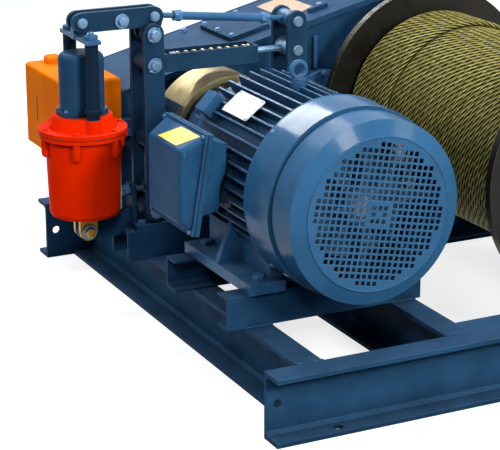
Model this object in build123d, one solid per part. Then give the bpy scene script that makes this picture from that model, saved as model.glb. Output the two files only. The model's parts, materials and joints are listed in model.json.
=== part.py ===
from build123d import *
import os
from math import atan2, cos, degrees, hypot, pi, radians, sin, sqrt

os.makedirs("parts", exist_ok=True)

# Electric rope winch on a channel frame. X runs across the winch, Y from the fan end of the
# motor back to the gearbox, Z up. The origin is the middle of the frame's underside.

# Clearances
RUN_FIT = 0.05
CURVE_GAP = 0.3
HOLE_FIT = 0.5
CUT_PAST = 1.0

# Frame of rolled channels
BASE_W = 1400.0
BASE_D = 1507.0
CH_H = 160.0
CH_B = 65.0
CH_WEB = 8.5
CH_FLANGE = 10.5
CH_ROOT = 8.0
LEFT_BEAM_IN = 80.0
INNER_BEAM_IN = 468.0
RIGHT_BEAM_IN = 80.0
CROSS_BACK = 399.0
ANCHOR_R = 12.5
ANCHOR_END = 165.0
ANCHOR_EDGE = 26.0
WEB_HOLE_R = 11.0
WEB_HOLE_END = 29.0

# Motor supports
SUP_H = 80.0
SUP_B = 52.0
SUP_T = 6.0
SUP_LEFT_IN = 30.0
SUP_LEN = 520.0
SUP_HOLE_EDGE = 30.0

# Motor
SHAFT_H = 225.0
MOTOR_IN = 302.0
MOTOR_BACK = 955.0
FOOT_A = 356.0
FOOT_B = 286.0
FOOT_C = 149.0
FOOT_W = 436.0
FOOT_L = 365.0
FOOT_T = 26.0
FOOT_WEB_IN = 125.0
FOOT_WEB_T = 34.0
BOLT_R = 8.0
BORE_R = 165.0
FRAME_R = 186.0
FIN_R = 212.0
FIN_T = 5.0
FIN_COUNT = 44
FIN_LOW = 133.0
HOUSING_FRONT = 162.0
HOUSING_BACK = 198.0
COWL_R = 225.0
COWL_T = 2.5
COWL_FRONT = 387.0
COWL_L = 220.0
COWL_STEP = 95.0
COWL_STEP_R = 218.0
COWL_GROOVE = 5.0
COWL_GROOVE_W = 9.0
COWL_SHOULDER = 17.0
COWL_SHOULDER_R = 215.0
GRILLE_R = 178.0
GRILLE_HOLE = 10.5
GRILLE_PITCH = 15.2
GRILLE_TURN = 11.0
GRILLE_FIELD = 161.3
GRILLE_BLANK = 30.0
SHIELD_T = 20.0
SHIELD_SPIGOT = 14.0
SHIELD_BOSS_R = 88.0
SHIELD_CONE_L = 42.0
SHIELD_BOSS_L = 25.0
SHIELD_LIP = 5.0
SHIELD_WALL = 14.0
SHIELD_LUG_W = 26.0
STATOR_L = 220.0
STATOR_MID = 15.0
STATOR_R = 120.0
AIR_GAP = 0.8
WINDING_L = 45.0
WINDING_IN = 6.0
MSHAFT_R = 40.0
MSHAFT_END_R = 30.0
MSHAFT_E = 140.0
MSHAFT_FAN_R = 25.0
MBRG_R = 70.0
MBRG_BORE = 32.5
MBRG_W = 33.0
FAN_R = 185.0
FAN_W = 52.0
FAN_DISC_T = 6.0
FAN_HUB_R = 45.0
FAN_BLADES = 8
FAN_BLADE_T = 5.0
FAN_SHIELD_GAP = 14.0
EYE_R = 18.5
EYE_WIRE = 6.5
EYE_SHANK_R = 9.0
EYE_BOSS_R = 18.0
EYE_BOSS_H = 13.0
EYE_STEM = 22.0
BOSS_TURN = -46.5
BOSS_W = 56.0
BOSS_L = 46.0
BOSS_R_TOP = 234.0
BOSS_BACK = 20.0

# Terminal box on the left side of the motor
TB_PAD_X = 190.0
TB_PAD = 80.0
TB_FLANGE_LOW = (302.0, 103.0)
TB_FLANGE_TOP = (262.0, 137.0)
TB_Y0 = 62.0
TB_Y1 = 175.0
TB_PAD_LOW = 70.0
TB_FLANGE_T = 12.0
TB_SIDE = ((215.0, 110.0), (218.0, 43.0), (232.0, 9.0), (236.0, -49.0))
TB_BODY_TOP = 125.0
TB_BODY_LOW = 61.0
TB_BODY_IN = 8.0
TB_NECK_LOW = 44.0
TB_WALL = 6.0
TB_LID_T = 8.0
TB_FACE_X = 334.0
TB_FACE_LOW = 72.0
TB_FACE_TOP = 105.0
TB_FACE_Y0 = 55.0
TB_FACE_Y1 = 128.0
TB_INSET = 8.0
TB_ROUND = 12.0
TB_GLAND_R = 27.0
TB_GLAND_BORE = 20.0
TB_GLAND_H = 26.0
TB_GLAND_IN_H = 20.0
TB_GLAND_IN = 262.0

# Drive coupling and brake wheel
BRAKE_BACK = 517.0
WHEEL_R = 157.5
WHEEL_W = 140.0
WHEEL_RIM = 14.0
WHEEL_WEB = 18.0
WHEEL_HUB_R = 55.0
COUP_R = 115.0
COUP_FLANGE = 28.0
COUP_HUB_R = 60.0
COUP_GAP = 6.0
COUP_SHOULDER_GAP = 2.0
PIN_COUNT = 8
PIN_PCR = 88.0
PIN_R = 8.0
PIN_BUSH_R = 15.0
PIN_HEAD = 7.0

# Gearbox: three stages, all shafts in the split plane
GB_FRONT = 367.0
GB_BACK = 52.0
GB_LEFT = 218.0
GB_RIGHT = 270.0
GB_WALL = 12.0
GB_FLOOR = 14.0
GB_FOOT_T = 24.0
GB_FLANGE_T = 22.0
GB_FLANGE_W = 25.0
GB_BOSS_OUT = 25.0
GB_BOSS_L = 42.0
GB_FRONT_FOOT = 32.0
GB_FOOT_IN = 2.0
GB_TOP = 147.0
GB_SLOPE = 0.25
GB_PEAK = 60.0
GB_END_TOP = 175.0
GB_CORNER = 22.0
GB_ROUND = 80.0
A1 = 160.0
A2 = 210.0
A3 = 280.0
M1 = 4.0
M2 = 5.0
M3 = 7.0
Z1P, Z1W = 20, 60
Z2P, Z2W = 18, 66
Z3P, Z3W = 17, 63
TOOTH_ADD = 0.8
TOOTH_DED = 1.15
TOOTH_HALF = 0.68
TOOTH_SLOPE = 0.36
G1_W = 52.0
G2_W = 70.0
G3_W = 95.0
G_EXTRA = 4.0
G1_IN = 26.0
G12_GAP = 18.0
IN_R = 27.5
IN_BRG = (30.0, 65.0, 31.0)
S2_BRG = (32.5, 70.0, 33.0)
S3_BRG = (42.5, 85.0, 40.0)
OUT_BRG = (65.0, 115.0, 40.0)
BOSS_WALL = 12.0
CAP_T = 12.0
CAP_BOLT_R = 6.0
SEAL_GAP = 0.4
GB_BOLTS = (-112.0, 118.0, 338.0, 618.0, 878.0)
SPLIT_BOLTS = (-180.0, -102.0, 258.0, 494.0, 808.0, 888.0)
HATCH_X = 195.0
HATCH = (122.0, 196.0, 12.0)
HATCH_LAP = 18.0
CTRL_W = 164.0
CTRL_D = 290.0
CTRL_H = 215.0
CTRL_FRONT = 10.0
CTRL_LOW = 80.0
CTRL_R = 18.0
CTRL_WALL = 6.0

# Drum, rope and front pedestal
DRUM_BACK = 502.0
DRUM_FRONT = 105.0
FLANGE_R = 323.0
FLANGE_T = 22.0
FLANGE_HUB_R = 95.0
FLANGE_HUB_L = 60.0
SHELL_R = 196.0
SHELL_T = 15.0
ROPE_TOP_R = 261.0
ROPE_D = 26.5
ROPE_LOOPS = 24
ROPE_BEND = 28.0
CORE_GAP = 1.0
DSHAFT_R = 65.0
DSHAFT_FRONT_R = 55.0
DSHAFT_END = 66.0
PED_W = 340.0
PED_D = 124.0
PED_PLATE = 24.0
PED_BODY_D = 90.0
PED_BODY_LOW = 130.0
PED_RING = 12.0
PED_BRG_R = 90.0
PED_BRG_W = 60.0
PED_EAR = 146.0
PED_EAR_T = 26.0
PED_BOLT_X = 150.0
PED_CAP_BOLT_X = 127.0

# Brake: places are from the wheel axis, across and up
BB_HALF = 286.0
BB_W = 110.0
BB_H = 80.0
BB_T = 8.0
BP_HALF = 260.0
BP_T = 14.0
ARM_X = 202.0
ARM_LOW = -180.0
ARM_W = 55.0
ARM_T = 12.0
ARM_IN = 36.0
ARM_BAR = 28.0
SIDE_GAP = 1.0
SHOE_PIN = 0.0
SPRING_Z = 202.0
LEVER_Z = 280.0
TIE_RIGHT_Z = 278.0
ARM_PIN_R = 12.0
PIN_OUT = 8.0
PIN_CAP_R = 19.0
RIGHT_CAP_R = 14.0
PIN_CAP_T = 5.0
LUG_HALF = 34.0
LUG_R = 24.0
LINING_T = 8.0
SHOE_T = 8.0
SHOE_W = 110.0
SHOE_ANGLE = 35.0
SHOE_LUG_R = 23.0
SHOE_LUG_HALF = 35.0
CLEVIS = (-382.5, 320.5)
TIE_LEFT = (-189.0, 320.7)
LEVER_IN = 12.5
LEVER_T = 10.0
LEVER_R = 25.0
LEVER_PIN_R = 10.0
LEVER_CAP_R = 13.0
LEVER_SPACER = (-278.0, 317.0)
TIE_EYE_R = 22.0
TIE_EYE_HALF = 11.5
TIE_ROD_R = 7.0
TIE_SLEEVE_R = 10.5
TIE_THREAD = 62.0
TIE_PLAY = 1.2
TROUGH_LEFT = -167.0
TROUGH_RIGHT = 96.0
TROUGH_HALF = 28.0
TROUGH_T = 5.0
TROUGH_LOW = 20.0
TROUGH_UP = 21.0
TROUGH_END = 8.0
TROUGH_EYE_R = 24.0
SPRING_R = 15.5
SPRING_WIRE = 7.0
SPRING_COILS = 10
SPRING_BEND = 12.0
SPRING_ROD_R = 8.0
SPRING_ROD_PLAY = 3.0
SPRING_SEAT = -140.0
SPRING_SEAT_T = 8.0
SPRING_SEAT_R = 18.5
SPRING_NUT = 12.0
SPRING_NUT_R = 13.0
STOP_X = 252.0
STOP_T = 12.0
STOP_Z = -128.0
STOP_HALF = 20.0
STOP_TOP = 18.0
STOP_BOLT_R = 7.0
STOP_GAP = 3.0
STOP_HEAD = 8.0
STOP_HEAD_R = 12.0
STOP_OUT = 17.0
BB_BOLT_X = 238.5
BB_BOLT_Y = 34.0
BB_BOLT_R = 6.0

# Thruster
TH_X = -380.0
TH_PIN_DROP = 7.0
TH_PIN_R = 10.0
TONGUE_HALF = 10.0
TONGUE_R = 25.0
TONGUE_LAP = 24.0
TONGUE_RISE = ((68.0, 25.0), (100.0, 37.0), (116.0, 46.0))
FORK_IN = 12.0
FORK_T = 12.0
FORK_R = 23.5
FORK_TOP = 44.0
TANK_R0 = 90.0
TANK_R1 = 96.0
TANK_H = 207.0
TANK_WALL = 4.0
TANK_ROUND = 12.0
TANK_FLANGE_R = 112.0
TANK_FLANGE_T = 11.0
HEAD_R0 = 86.0
HEAD_R1 = 75.0
HEAD_H = 44.0
HEAD_PILLAR_R = 21.0
TM_PLATE = (61.0, 46.0, 13.0)
TM_CORNER = 22.0
TM_R = 57.0
TM_FLAT = 47.0
TM_H = 128.0
TM_DOME = 16.0
ROD_R = 16.0
ROD_IN_R = 11.0
ROD_Y = 75.0
CROSS_GAP = 34.0
CROSS_HALF = 95.0
CROSS_W = 36.0
CROSS_T = 9.5
CROSS_NUT_R = 9.5
CROSS_NUT = 11.0
PISTON_T = 20.0
PISTON_UP = 90.0
PISTON_GAP = 2.0
CLEVIS_HALF = 10.0
CLEVIS_R = 18.0
CLEVIS_PLAY = 2.4

# Bolts
HEX = 1.85
HEAD_H_RATIO = 0.65
NUT_H_RATIO = 0.8

# Places that follow from the sizes above
LEFT = -BASE_W / 2
WEB_F = -BASE_D / 2 + CH_B
WEB_R = BASE_D / 2 - CH_B
MX = LEFT + MOTOR_IN
MY = WEB_R - MOTOR_BACK
SUP_TOP = CH_H + SUP_H
MZ = SUP_TOP + SHAFT_H
YB = WEB_R - BRAKE_BACK
GF = WEB_R - GB_FRONT
GR = WEB_R - GB_BACK
S2X = MX + A1
S3X = S2X + A2
DX = S3X + A3
DF = WEB_F + DRUM_FRONT
DB = WEB_R - DRUM_BACK
GL = MX - GB_LEFT
GE = DX + GB_RIGHT


def span(mid, size):
    """Low and high end of a length about its middle."""
    return (mid - size / 2, mid + size / 2)


def past(ends):
    """Low and high end of a cut that runs past both faces."""
    return (ends[0] - CUT_PAST, ends[1] + CUT_PAST)


def block(x, y, z):
    """Box between three pairs of low and high ends."""
    mids = [(a + b) / 2 for a, b in (x, y, z)]
    sizes = [b - a for a, b in (x, y, z)]
    return Pos(*mids) * Box(*sizes)


def rod_x(x, y, z, r):
    return Pos((x[0] + x[1]) / 2, y, z) * Rot(0, 90, 0) * Cylinder(r, x[1] - x[0])


def rod_y(x, y, z, r):
    return Pos(x, (y[0] + y[1]) / 2, z) * Rot(90, 0, 0) * Cylinder(r, y[1] - y[0])


def rod_z(x, y, z, r):
    return Pos(x, y, (z[0] + z[1]) / 2) * Cylinder(r, z[1] - z[0])


def turned(points, x, z):
    """Solid turned about an axis along Y, from (radius, y) points."""
    face = make_face(Polyline(*[(x + r, y, z) for r, y in points], close=True))
    return revolve(face, Axis((x, 0, z), (0, 1, 0)), 360)


def turned_z(points, x, y):
    """Solid turned about an axis along Z, from (radius, z) points."""
    face = make_face(Polyline(*[(x + r, y, z) for r, z in points], close=True))
    return revolve(face, Axis((x, y, 0), (0, 0, 1)), 360)


def ring(x, z, y, r_out, r_in):
    return turned([(r_in, y[0]), (r_out, y[0]), (r_out, y[1]), (r_in, y[1])], x, z)


def plate_y(points, y):
    """Outline of (x, z) points, drawn out along Y."""
    face = make_face(Polyline(*[(px, y[0], pz) for px, pz in points], close=True))
    return extrude(face, amount=y[1] - y[0], dir=(0, 1, 0))


def capsule(p, q, r, y):
    """Round-ended bar between two (x, z) points."""
    mid = ((p[0] + q[0]) / 2, (p[1] + q[1]) / 2)
    turn = degrees(atan2(q[1] - p[1], q[0] - p[0]))
    bar = Pos(mid[0], (y[0] + y[1]) / 2, mid[1]) * Rot(0, -turn, 0)
    bar = bar * Box(hypot(q[0] - p[0], q[1] - p[1]), y[1] - y[0], 2 * r)
    return bar + rod_y(p[0], y, p[1], r) + rod_y(q[0], y, q[1], r)


def channel(start, length, along, out, z, h, b, web, flange, root):
    """Channel with its web's back through start, drawn out along X or Y, flanges towards out."""
    low = flange + root
    side = [(0, 0), (b, 0), (b, flange), (web + root, flange), (web, low), (web, h - low),
            (web + root, h - flange), (b, h - flange), (b, h), (0, h)]
    if along == "X":
        points = [(start[0], start[1] + out * s, z + u) for s, u in side]
        return extrude(make_face(Polyline(*points, close=True)), amount=length, dir=(1, 0, 0))
    points = [(start[0] + out * s, start[1], z + u) for s, u in side]
    return extrude(make_face(Polyline(*points, close=True)), amount=length, dir=(0, 1, 0))


def base_channel(start, length, along, out):
    return channel(start, length, along, out, 0, CH_H, CH_B, CH_WEB, CH_FLANGE, CH_ROOT)


def hex_z(x, y, z, r):
    return Pos(x, y, z[0]) * extrude(RegularPolygon(HEX * r, 6), amount=z[1] - z[0])


def bolt_z(x, y, top, bottom, r):
    """Hexagon bolt with its head on top and its nut under bottom."""
    head = hex_z(x, y, (top, top + 2 * r * HEAD_H_RATIO), r)
    nut_h = 2 * r * NUT_H_RATIO
    shank = rod_z(x, y, (bottom - nut_h - r / 2, top), r)
    return head + shank + hex_z(x, y, (bottom - nut_h, bottom), r)


def gear(teeth, module, x, z, y, phase, bore):
    """Straight-sided gear with a tooth at the phase angle."""
    pitch_r = teeth * module / 2
    points = []
    for i in range(teeth):
        mid = 2 * pi * i / teeth + phase
        for up, side in ((-TOOTH_DED, -1), (TOOTH_ADD, -1), (TOOTH_ADD, 1), (-TOOTH_DED, 1)):
            r = pitch_r + up * module
            half = (TOOTH_HALF - up * TOOTH_SLOPE) * module / r
            points.append((x + r * cos(mid + side * half), z + r * sin(mid + side * half)))
    body = plate_y(points, y)
    return body - rod_y(x, y, z, bore) if bore else body


def biarc(p1, t1, p2, t2):
    """Two tangent arcs from p1 along t1 to p2 along t2."""
    v = p2 - p1
    t = t1 + t2
    vt = v.dot(t)
    den = 2 * (1 - t1.dot(t2))
    d = (-vt + sqrt(vt * vt + den * v.dot(v))) / den
    pm = (p1 + p2 + (t1 - t2) * d) / 2
    first = Edge.make_tangent_arc(p1, t1, pm)
    second = Edge.make_tangent_arc(pm, first % 1, p2)
    return [first, second]


def wound_tube(radius, length, loops, wire, bend, name):
    """Tube wound about Z, whose ends run straight along Z into two faces."""
    run = wire + bend
    pitch = (length - 2 * run) / loops
    lead = bend / radius
    up = Vector(0, 0, 1)

    def at(angle, z):
        return Vector(radius * cos(angle), radius * sin(angle), z)

    steps = 4 * loops
    rise = pitch / (2 * pi)
    size = hypot(radius, rise)
    knots = [(at(0, wire), up)]
    for i in range(steps + 1):
        angle = lead + 2 * pi * i / 4
        way = Vector(-radius * sin(angle) / size, radius * cos(angle) / size, rise / size)
        knots.append((at(angle, run + pitch * i / 4), way))
    last = 2 * lead + 2 * pi * loops
    knots.append((at(last, length - wire), up))
    edges = [Edge.make_line(at(0, 0), at(0, wire))]
    for (p1, t1), (p2, t2) in zip(knots, knots[1:]):
        edges += biarc(p1, t1, p2, t2)
    edges.append(Edge.make_line(at(last, length - wire), at(last, length)))
    path = Wire(edges)
    points = [e.position_at(k / 6) for e in edges for k in range(6)]
    skip = 6 * 4
    gap = min((a - b).length for i, a in enumerate(points) for b in points[i + skip:]) - wire
    tube = sweep(Plane(at(0, 0), z_dir=(0, 0, 1)) * Circle(wire / 2), path=path)
    share = tube.volume / (pi * wire * wire / 4 * path.length)
    print(f"{name}: least gap to itself {gap:.2f} mm, volume share {share:.4f}")
    return tube


def node(name, *solids):
    """One STEP file for each named piece."""
    shape = solids[0] if len(solids) == 1 else Compound(list(solids))
    export_step(shape, f"parts/{name}.step")


# Bolt places shared by the pieces that they hold together
FOOT_HOLES = [(MX + sx * FOOT_A / 2, MY + sy * FOOT_B / 2) for sx in (-1, 1) for sy in (-1, 1)]
CROSS_Y = WEB_R - CROSS_BACK
GB_FRONT_HOLES = [(MX + u, GF - GB_FRONT_FOOT / 2) for u in GB_BOLTS]
GB_BACK_HOLES = [(MX + u, WEB_R + CH_B / 2) for u in GB_BOLTS]
SPLIT_YS = (GF - GB_FLANGE_W / 2, GR + GB_FLANGE_W / 2)
SPLIT_HOLES = [(MX + u, y) for u in SPLIT_BOLTS for y in SPLIT_YS]
PED_FRONT_HOLES = [(DX + s * PED_BOLT_X, WEB_F - CH_B / 2) for s in (-1, 1)]
PED_BACK_HOLES = [(DX + s * PED_BOLT_X, WEB_F + CH_B / 2) for s in (-1, 1)]
PED_CAP_HOLES = [(DX + s * PED_CAP_BOLT_X, WEB_F) for s in (-1, 1)]
BB_HOLES = [(MX + sx * BB_BOLT_X, YB + sy * BB_BOLT_Y) for sx in (-1, 1) for sy in (-1, 1)]
BB_TOP = CH_H + BB_H
PZ = BB_TOP + BP_T


def drilled(body, places, z, r):
    """Body with upright clearance holes."""
    return body - [rod_z(x, y, z, r + HOLE_FIT) for x, y in places]


def build_frame():
    top = (CH_H - CH_FLANGE - CH_ROOT, CH_H + CH_ROOT)
    ends = []
    for out, web in ((-1, WEB_F), (1, WEB_R)):
        beam = base_channel((LEFT, web), BASE_W, "X", out)
        for side in (-1, 1):
            end = side * (BASE_W / 2 - ANCHOR_END)
            edge = out * (BASE_D / 2 - ANCHOR_EDGE)
            beam -= rod_z(end, edge, (-CH_ROOT, CH_FLANGE + CH_ROOT), ANCHOR_R)
            hole = side * (BASE_W / 2 - WEB_HOLE_END)
            beam -= rod_y(hole, span(web, 4 * CH_WEB), CH_H / 2, WEB_HOLE_R)
        ends.append(beam)
    ends[0] = drilled(ends[0], PED_FRONT_HOLES, top, BOLT_R)
    ends[1] = drilled(ends[1], GB_BACK_HOLES, top, BOLT_R)
    node("end_channels", *ends)

    length = WEB_R - WEB_F
    left_web = LEFT + LEFT_BEAM_IN + CH_B
    inner_tip = LEFT + INNER_BEAM_IN
    inner_web = inner_tip + CH_B
    right_web = -LEFT - RIGHT_BEAM_IN - CH_B
    node("long_channels",
         base_channel((left_web, WEB_F), length, "Y", -1),
         base_channel((inner_web, WEB_F), length, "Y", -1),
         base_channel((right_web, WEB_F), length, "Y", 1))

    pedestal_beam = base_channel((inner_web, WEB_F), right_web - inner_web, "X", 1)
    beams = [drilled(pedestal_beam, PED_BACK_HOLES, top, BOLT_R)]
    for x0, x1 in ((left_web, inner_tip), (inner_web, right_web)):
        beam = base_channel((x0, CROSS_Y + CH_B), x1 - x0, "X", -1)
        beams.append(drilled(beam, GB_FRONT_HOLES, top, BOLT_R))
    node("cross_channels", *beams)

    supports = []
    for out, hole_y in ((1, MY - FOOT_B / 2), (-1, MY + FOOT_B / 2)):
        start = (LEFT + SUP_LEFT_IN, hole_y - out * SUP_HOLE_EDGE)
        beam = channel(start, SUP_LEN, "X", out, CH_H, SUP_H, SUP_B, SUP_T, SUP_T, SUP_T)
        supports.append(drilled(beam, FOOT_HOLES, (SUP_TOP - 2 * SUP_T, SUP_TOP + SUP_T), BOLT_R))
    node("motor_supports", *supports)


def build_bolts():
    bolts = [bolt_z(x, y, SUP_TOP + FOOT_T, SUP_TOP - SUP_T, BOLT_R) for x, y in FOOT_HOLES]
    for x, y in GB_FRONT_HOLES + GB_BACK_HOLES:
        bolts.append(bolt_z(x, y, CH_H + GB_FOOT_T, CH_H - CH_FLANGE, BOLT_R))
    for x, y in PED_FRONT_HOLES + PED_BACK_HOLES:
        bolts.append(bolt_z(x, y, CH_H + PED_PLATE, CH_H - CH_FLANGE, BOLT_R))
    for x, y in PED_CAP_HOLES:
        bolts.append(bolt_z(x, y, MZ + PED_EAR_T, MZ - PED_EAR_T, BOLT_R))
    for x, y in BB_HOLES:
        bolts.append(bolt_z(x, y, PZ, BB_TOP - BB_T, BB_BOLT_R))
    for x, y in SPLIT_HOLES:
        bolts.append(bolt_z(x, y, MZ + GB_FLANGE_T, MZ - GB_FLANGE_T, CAP_BOLT_R))
    node("frame_bolts", *bolts)


# Motor stations along Y, from the middle of the feet
DE_FACE = MY + HOUSING_BACK + SHIELD_T + SHIELD_CONE_L + SHIELD_BOSS_L
FE_FACE = MY - HOUSING_FRONT - SHIELD_T - SHIELD_CONE_L - SHIELD_BOSS_L
SHOULDER = MY + FOOT_B / 2 + FOOT_C
MSHAFT_TIP = SHOULDER + MSHAFT_E
FAN_BACK = FE_FACE - FAN_SHIELD_GAP
FAN_FRONT = FAN_BACK - FAN_W
COUP_FACE = MSHAFT_TIP - COUP_SHOULDER_GAP
TB_MID = MY + (TB_Y1 - TB_Y0) / 2
TB_YS = (MY - TB_Y0, MY + TB_Y1)


def build_motor_housing():
    ys = (MY - HOUSING_FRONT, MY + HOUSING_BACK)
    body = ring(MX, MZ, ys, FRAME_R, BORE_R)
    fins = []
    for i in range(FIN_COUNT):
        turn = 360 * i / FIN_COUNT
        if cos(radians(turn)) * FIN_R > -FIN_LOW:
            deep = FIN_R - FRAME_R + FIN_T
            place = Pos(MX, (ys[0] + ys[1]) / 2, MZ) * Rot(0, turn, 0)
            fins.append(place * Pos(0, 0, FIN_R - deep / 2) * Box(FIN_T, ys[1] - ys[0], deep))
    body += fins
    room = span(TB_MID, 2 * TB_PAD + 2 * TB_WALL)
    body -= block((MX - FIN_R - TB_PAD, MX - TB_PAD_X), room, span(MZ, 2 * TB_PAD_LOW + 2 * TB_WALL))
    body += block((MX - TB_PAD_X, MX - BORE_R), span(TB_MID, 2 * TB_PAD), span(MZ, 2 * TB_PAD_LOW))
    for side in (-1, 1):
        out = (MX + side * FOOT_W / 2, MX + side * FOOT_WEB_IN)
        foot = block(sorted(out), span(MY, FOOT_L), (SUP_TOP, SUP_TOP + FOOT_T))
        web = (MX + side * FOOT_WEB_IN, MX + side * (FOOT_WEB_IN + FOOT_WEB_T))
        web_ys = (MY - HOUSING_FRONT, MY + HOUSING_FRONT)
        reach = MZ - sqrt(BORE_R ** 2 - (FOOT_WEB_IN + FOOT_WEB_T) ** 2)
        wall = block(sorted(web), web_ys, (SUP_TOP, reach))
        tip = MX + side * FOOT_W / 2
        rib = plate_y([(web[0], SUP_TOP + FOOT_T), (tip, SUP_TOP + FOOT_T), (web[1], reach)],
                      span(MY, FOOT_WEB_T / 2))
        body = body + foot + wall + rib
    place = Pos(MX, ys[1] - BOSS_BACK - BOSS_L / 2, MZ) * Rot(0, BOSS_TURN, 0)
    body += place * Pos(0, 0, (BORE_R + BOSS_R_TOP) / 2) * Box(BOSS_W, BOSS_L, BOSS_R_TOP - BORE_R)
    body -= rod_y(MX, past(ys), MZ, BORE_R)
    eye_top = MZ + FIN_R + EYE_BOSS_H
    body += rod_z(MX, MY, (MZ + (FRAME_R + BORE_R) / 2, eye_top), EYE_BOSS_R)
    body -= rod_z(MX, MY, (eye_top - EYE_STEM, eye_top + CUT_PAST), EYE_SHANK_R + RUN_FIT)
    body = drilled(body, FOOT_HOLES, past((SUP_TOP, SUP_TOP + FOOT_T)), BOLT_R)
    node("motor_housing", body)

    stem = rod_z(MX, MY, (eye_top - EYE_STEM, eye_top + EYE_WIRE), EYE_SHANK_R)
    collar = rod_z(MX, MY, (eye_top, eye_top + EYE_WIRE), EYE_BOSS_R)
    loop = Pos(MX, MY, eye_top + EYE_WIRE + EYE_R) * Rot(90, 0, 0) * Torus(EYE_R, EYE_WIRE)
    node("lifting_eyebolt", stem + collar + loop)


def build_motor_shields():
    solids = []
    for way, face in ((1, MY + HOUSING_BACK), (-1, MY - HOUSING_FRONT)):
        def st(h):
            return face + way * h
        cone = SHIELD_T + SHIELD_CONE_L
        end = cone + SHIELD_BOSS_L
        seat = end - SHIELD_LIP - MBRG_W
        wall_r = BORE_R - SHIELD_WALL
        points = [(wall_r, st(-SHIELD_SPIGOT)), (BORE_R - RUN_FIT, st(-SHIELD_SPIGOT)),
                  (BORE_R - RUN_FIT, st(0)), (FRAME_R, st(0)), (FRAME_R, st(SHIELD_T)),
                  (SHIELD_BOSS_R, st(cone)), (SHIELD_BOSS_R, st(end)),
                  (MBRG_BORE + SHIELD_LIP, st(end)), (MBRG_BORE + SHIELD_LIP, st(end - SHIELD_LIP)),
                  (MBRG_R + RUN_FIT, st(end - SHIELD_LIP)), (MBRG_R + RUN_FIT, st(seat)),
                  (wall_r, st(SHIELD_T / 2))]
        shield = turned(points, MX, MZ)
        if way < 0:
            reach = COWL_R - COWL_T - CURVE_GAP
            for turn in (45, 135, 225, 315):
                place = Pos(MX, st(SHIELD_T / 2), MZ) * Rot(0, turn, 0)
                place *= Pos(0, 0, (BORE_R + reach) / 2)
                lug = place * Box(SHIELD_LUG_W, SHIELD_T, reach - BORE_R)
                shield += lug & ring(MX, MZ, (st(SHIELD_T), st(0)), reach, wall_r)
        solids.append(shield)
    node("motor_end_shields", *solids)


def build_motor_inside():
    mid = MY + STATOR_MID
    core = span(mid, STATOR_L)
    ends = span(mid, STATOR_L + 2 * WINDING_L)
    stator = ring(MX, MZ, core, BORE_R - RUN_FIT, STATOR_R)
    stator += ring(MX, MZ, ends, BORE_R - WINDING_IN, STATOR_R + WINDING_IN)
    node("motor_stator", stator)
    node("rotor_core", ring(MX, MZ, core, STATOR_R - AIR_GAP, MSHAFT_R + RUN_FIT))
    seat_back = DE_FACE - SHIELD_LIP - MBRG_W
    seat_front = FE_FACE + SHIELD_LIP + MBRG_W
    node("motor_shaft", stepped(MX, FAN_FRONT, [
        (FE_FACE, MSHAFT_FAN_R), (seat_front, MBRG_BORE), (seat_back, MSHAFT_R),
        (SHOULDER, MBRG_BORE), (MSHAFT_TIP, MSHAFT_END_R)]))
    fan = ring(MX, MZ, (FAN_FRONT, FAN_BACK), FAN_HUB_R, MSHAFT_FAN_R + RUN_FIT)
    fan += ring(MX, MZ, (FAN_BACK - FAN_DISC_T, FAN_BACK), FAN_R - FAN_W, FAN_HUB_R - FAN_DISC_T)
    for i in range(FAN_BLADES):
        place = Pos(MX, (FAN_FRONT + FAN_BACK) / 2, MZ) * Rot(0, 360 * i / FAN_BLADES, 0)
        reach = FAN_R - FAN_HUB_R + FAN_BLADE_T
        fan += place * Pos(0, 0, FAN_R - reach / 2) * Box(FAN_BLADE_T, FAN_W, reach)
    node("cooling_fan", fan)


def build_cowl():
    front = MY - COWL_FRONT
    back = front + COWL_L
    t = COWL_T
    step = front + COWL_STEP
    rise = step + COWL_GROOVE_W
    floor = COWL_STEP_R - COWL_GROOVE
    shoulder = front + COWL_SHOULDER
    outer = [(GRILLE_R, front), (COWL_SHOULDER_R, shoulder), (COWL_STEP_R, step), (floor, step),
             (floor, rise), (COWL_R, rise), (COWL_R, back)]
    inner = [(GRILLE_R - t, front + t), (COWL_SHOULDER_R - t, shoulder + t), (COWL_STEP_R - t, step - t),
             (floor - t, step - t), (floor - t, rise + t), (COWL_R - t, rise + t), (COWL_R - t, back)]
    shell = turned(outer + inner[::-1], MX, MZ)
    grille = Circle(GRILLE_R - t / 2)
    count = int(GRILLE_FIELD // GRILLE_PITCH) + 1
    rows = [(i - count + 1 / 2) * GRILLE_PITCH for i in range(2 * count)]
    places = [(u, w) for u in rows for w in rows
              if hypot(u, w) < GRILLE_FIELD and max(abs(u), abs(w)) > GRILLE_BLANK]
    near = (-GRILLE_PITCH, 0, GRILLE_PITCH)
    places += [(u, w) for u in near for w in near if u or w]
    holes = [Pos(u, w) * Rectangle(GRILLE_HOLE, GRILLE_HOLE) for u, w in places]
    a = radians(GRILLE_TURN)
    place = Plane((MX, front + t, MZ), x_dir=(cos(a), 0, -sin(a)), z_dir=(0, -1, 0))
    shell += extrude(place * (grille - holes), amount=t)
    node("fan_cowl", shell)


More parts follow.
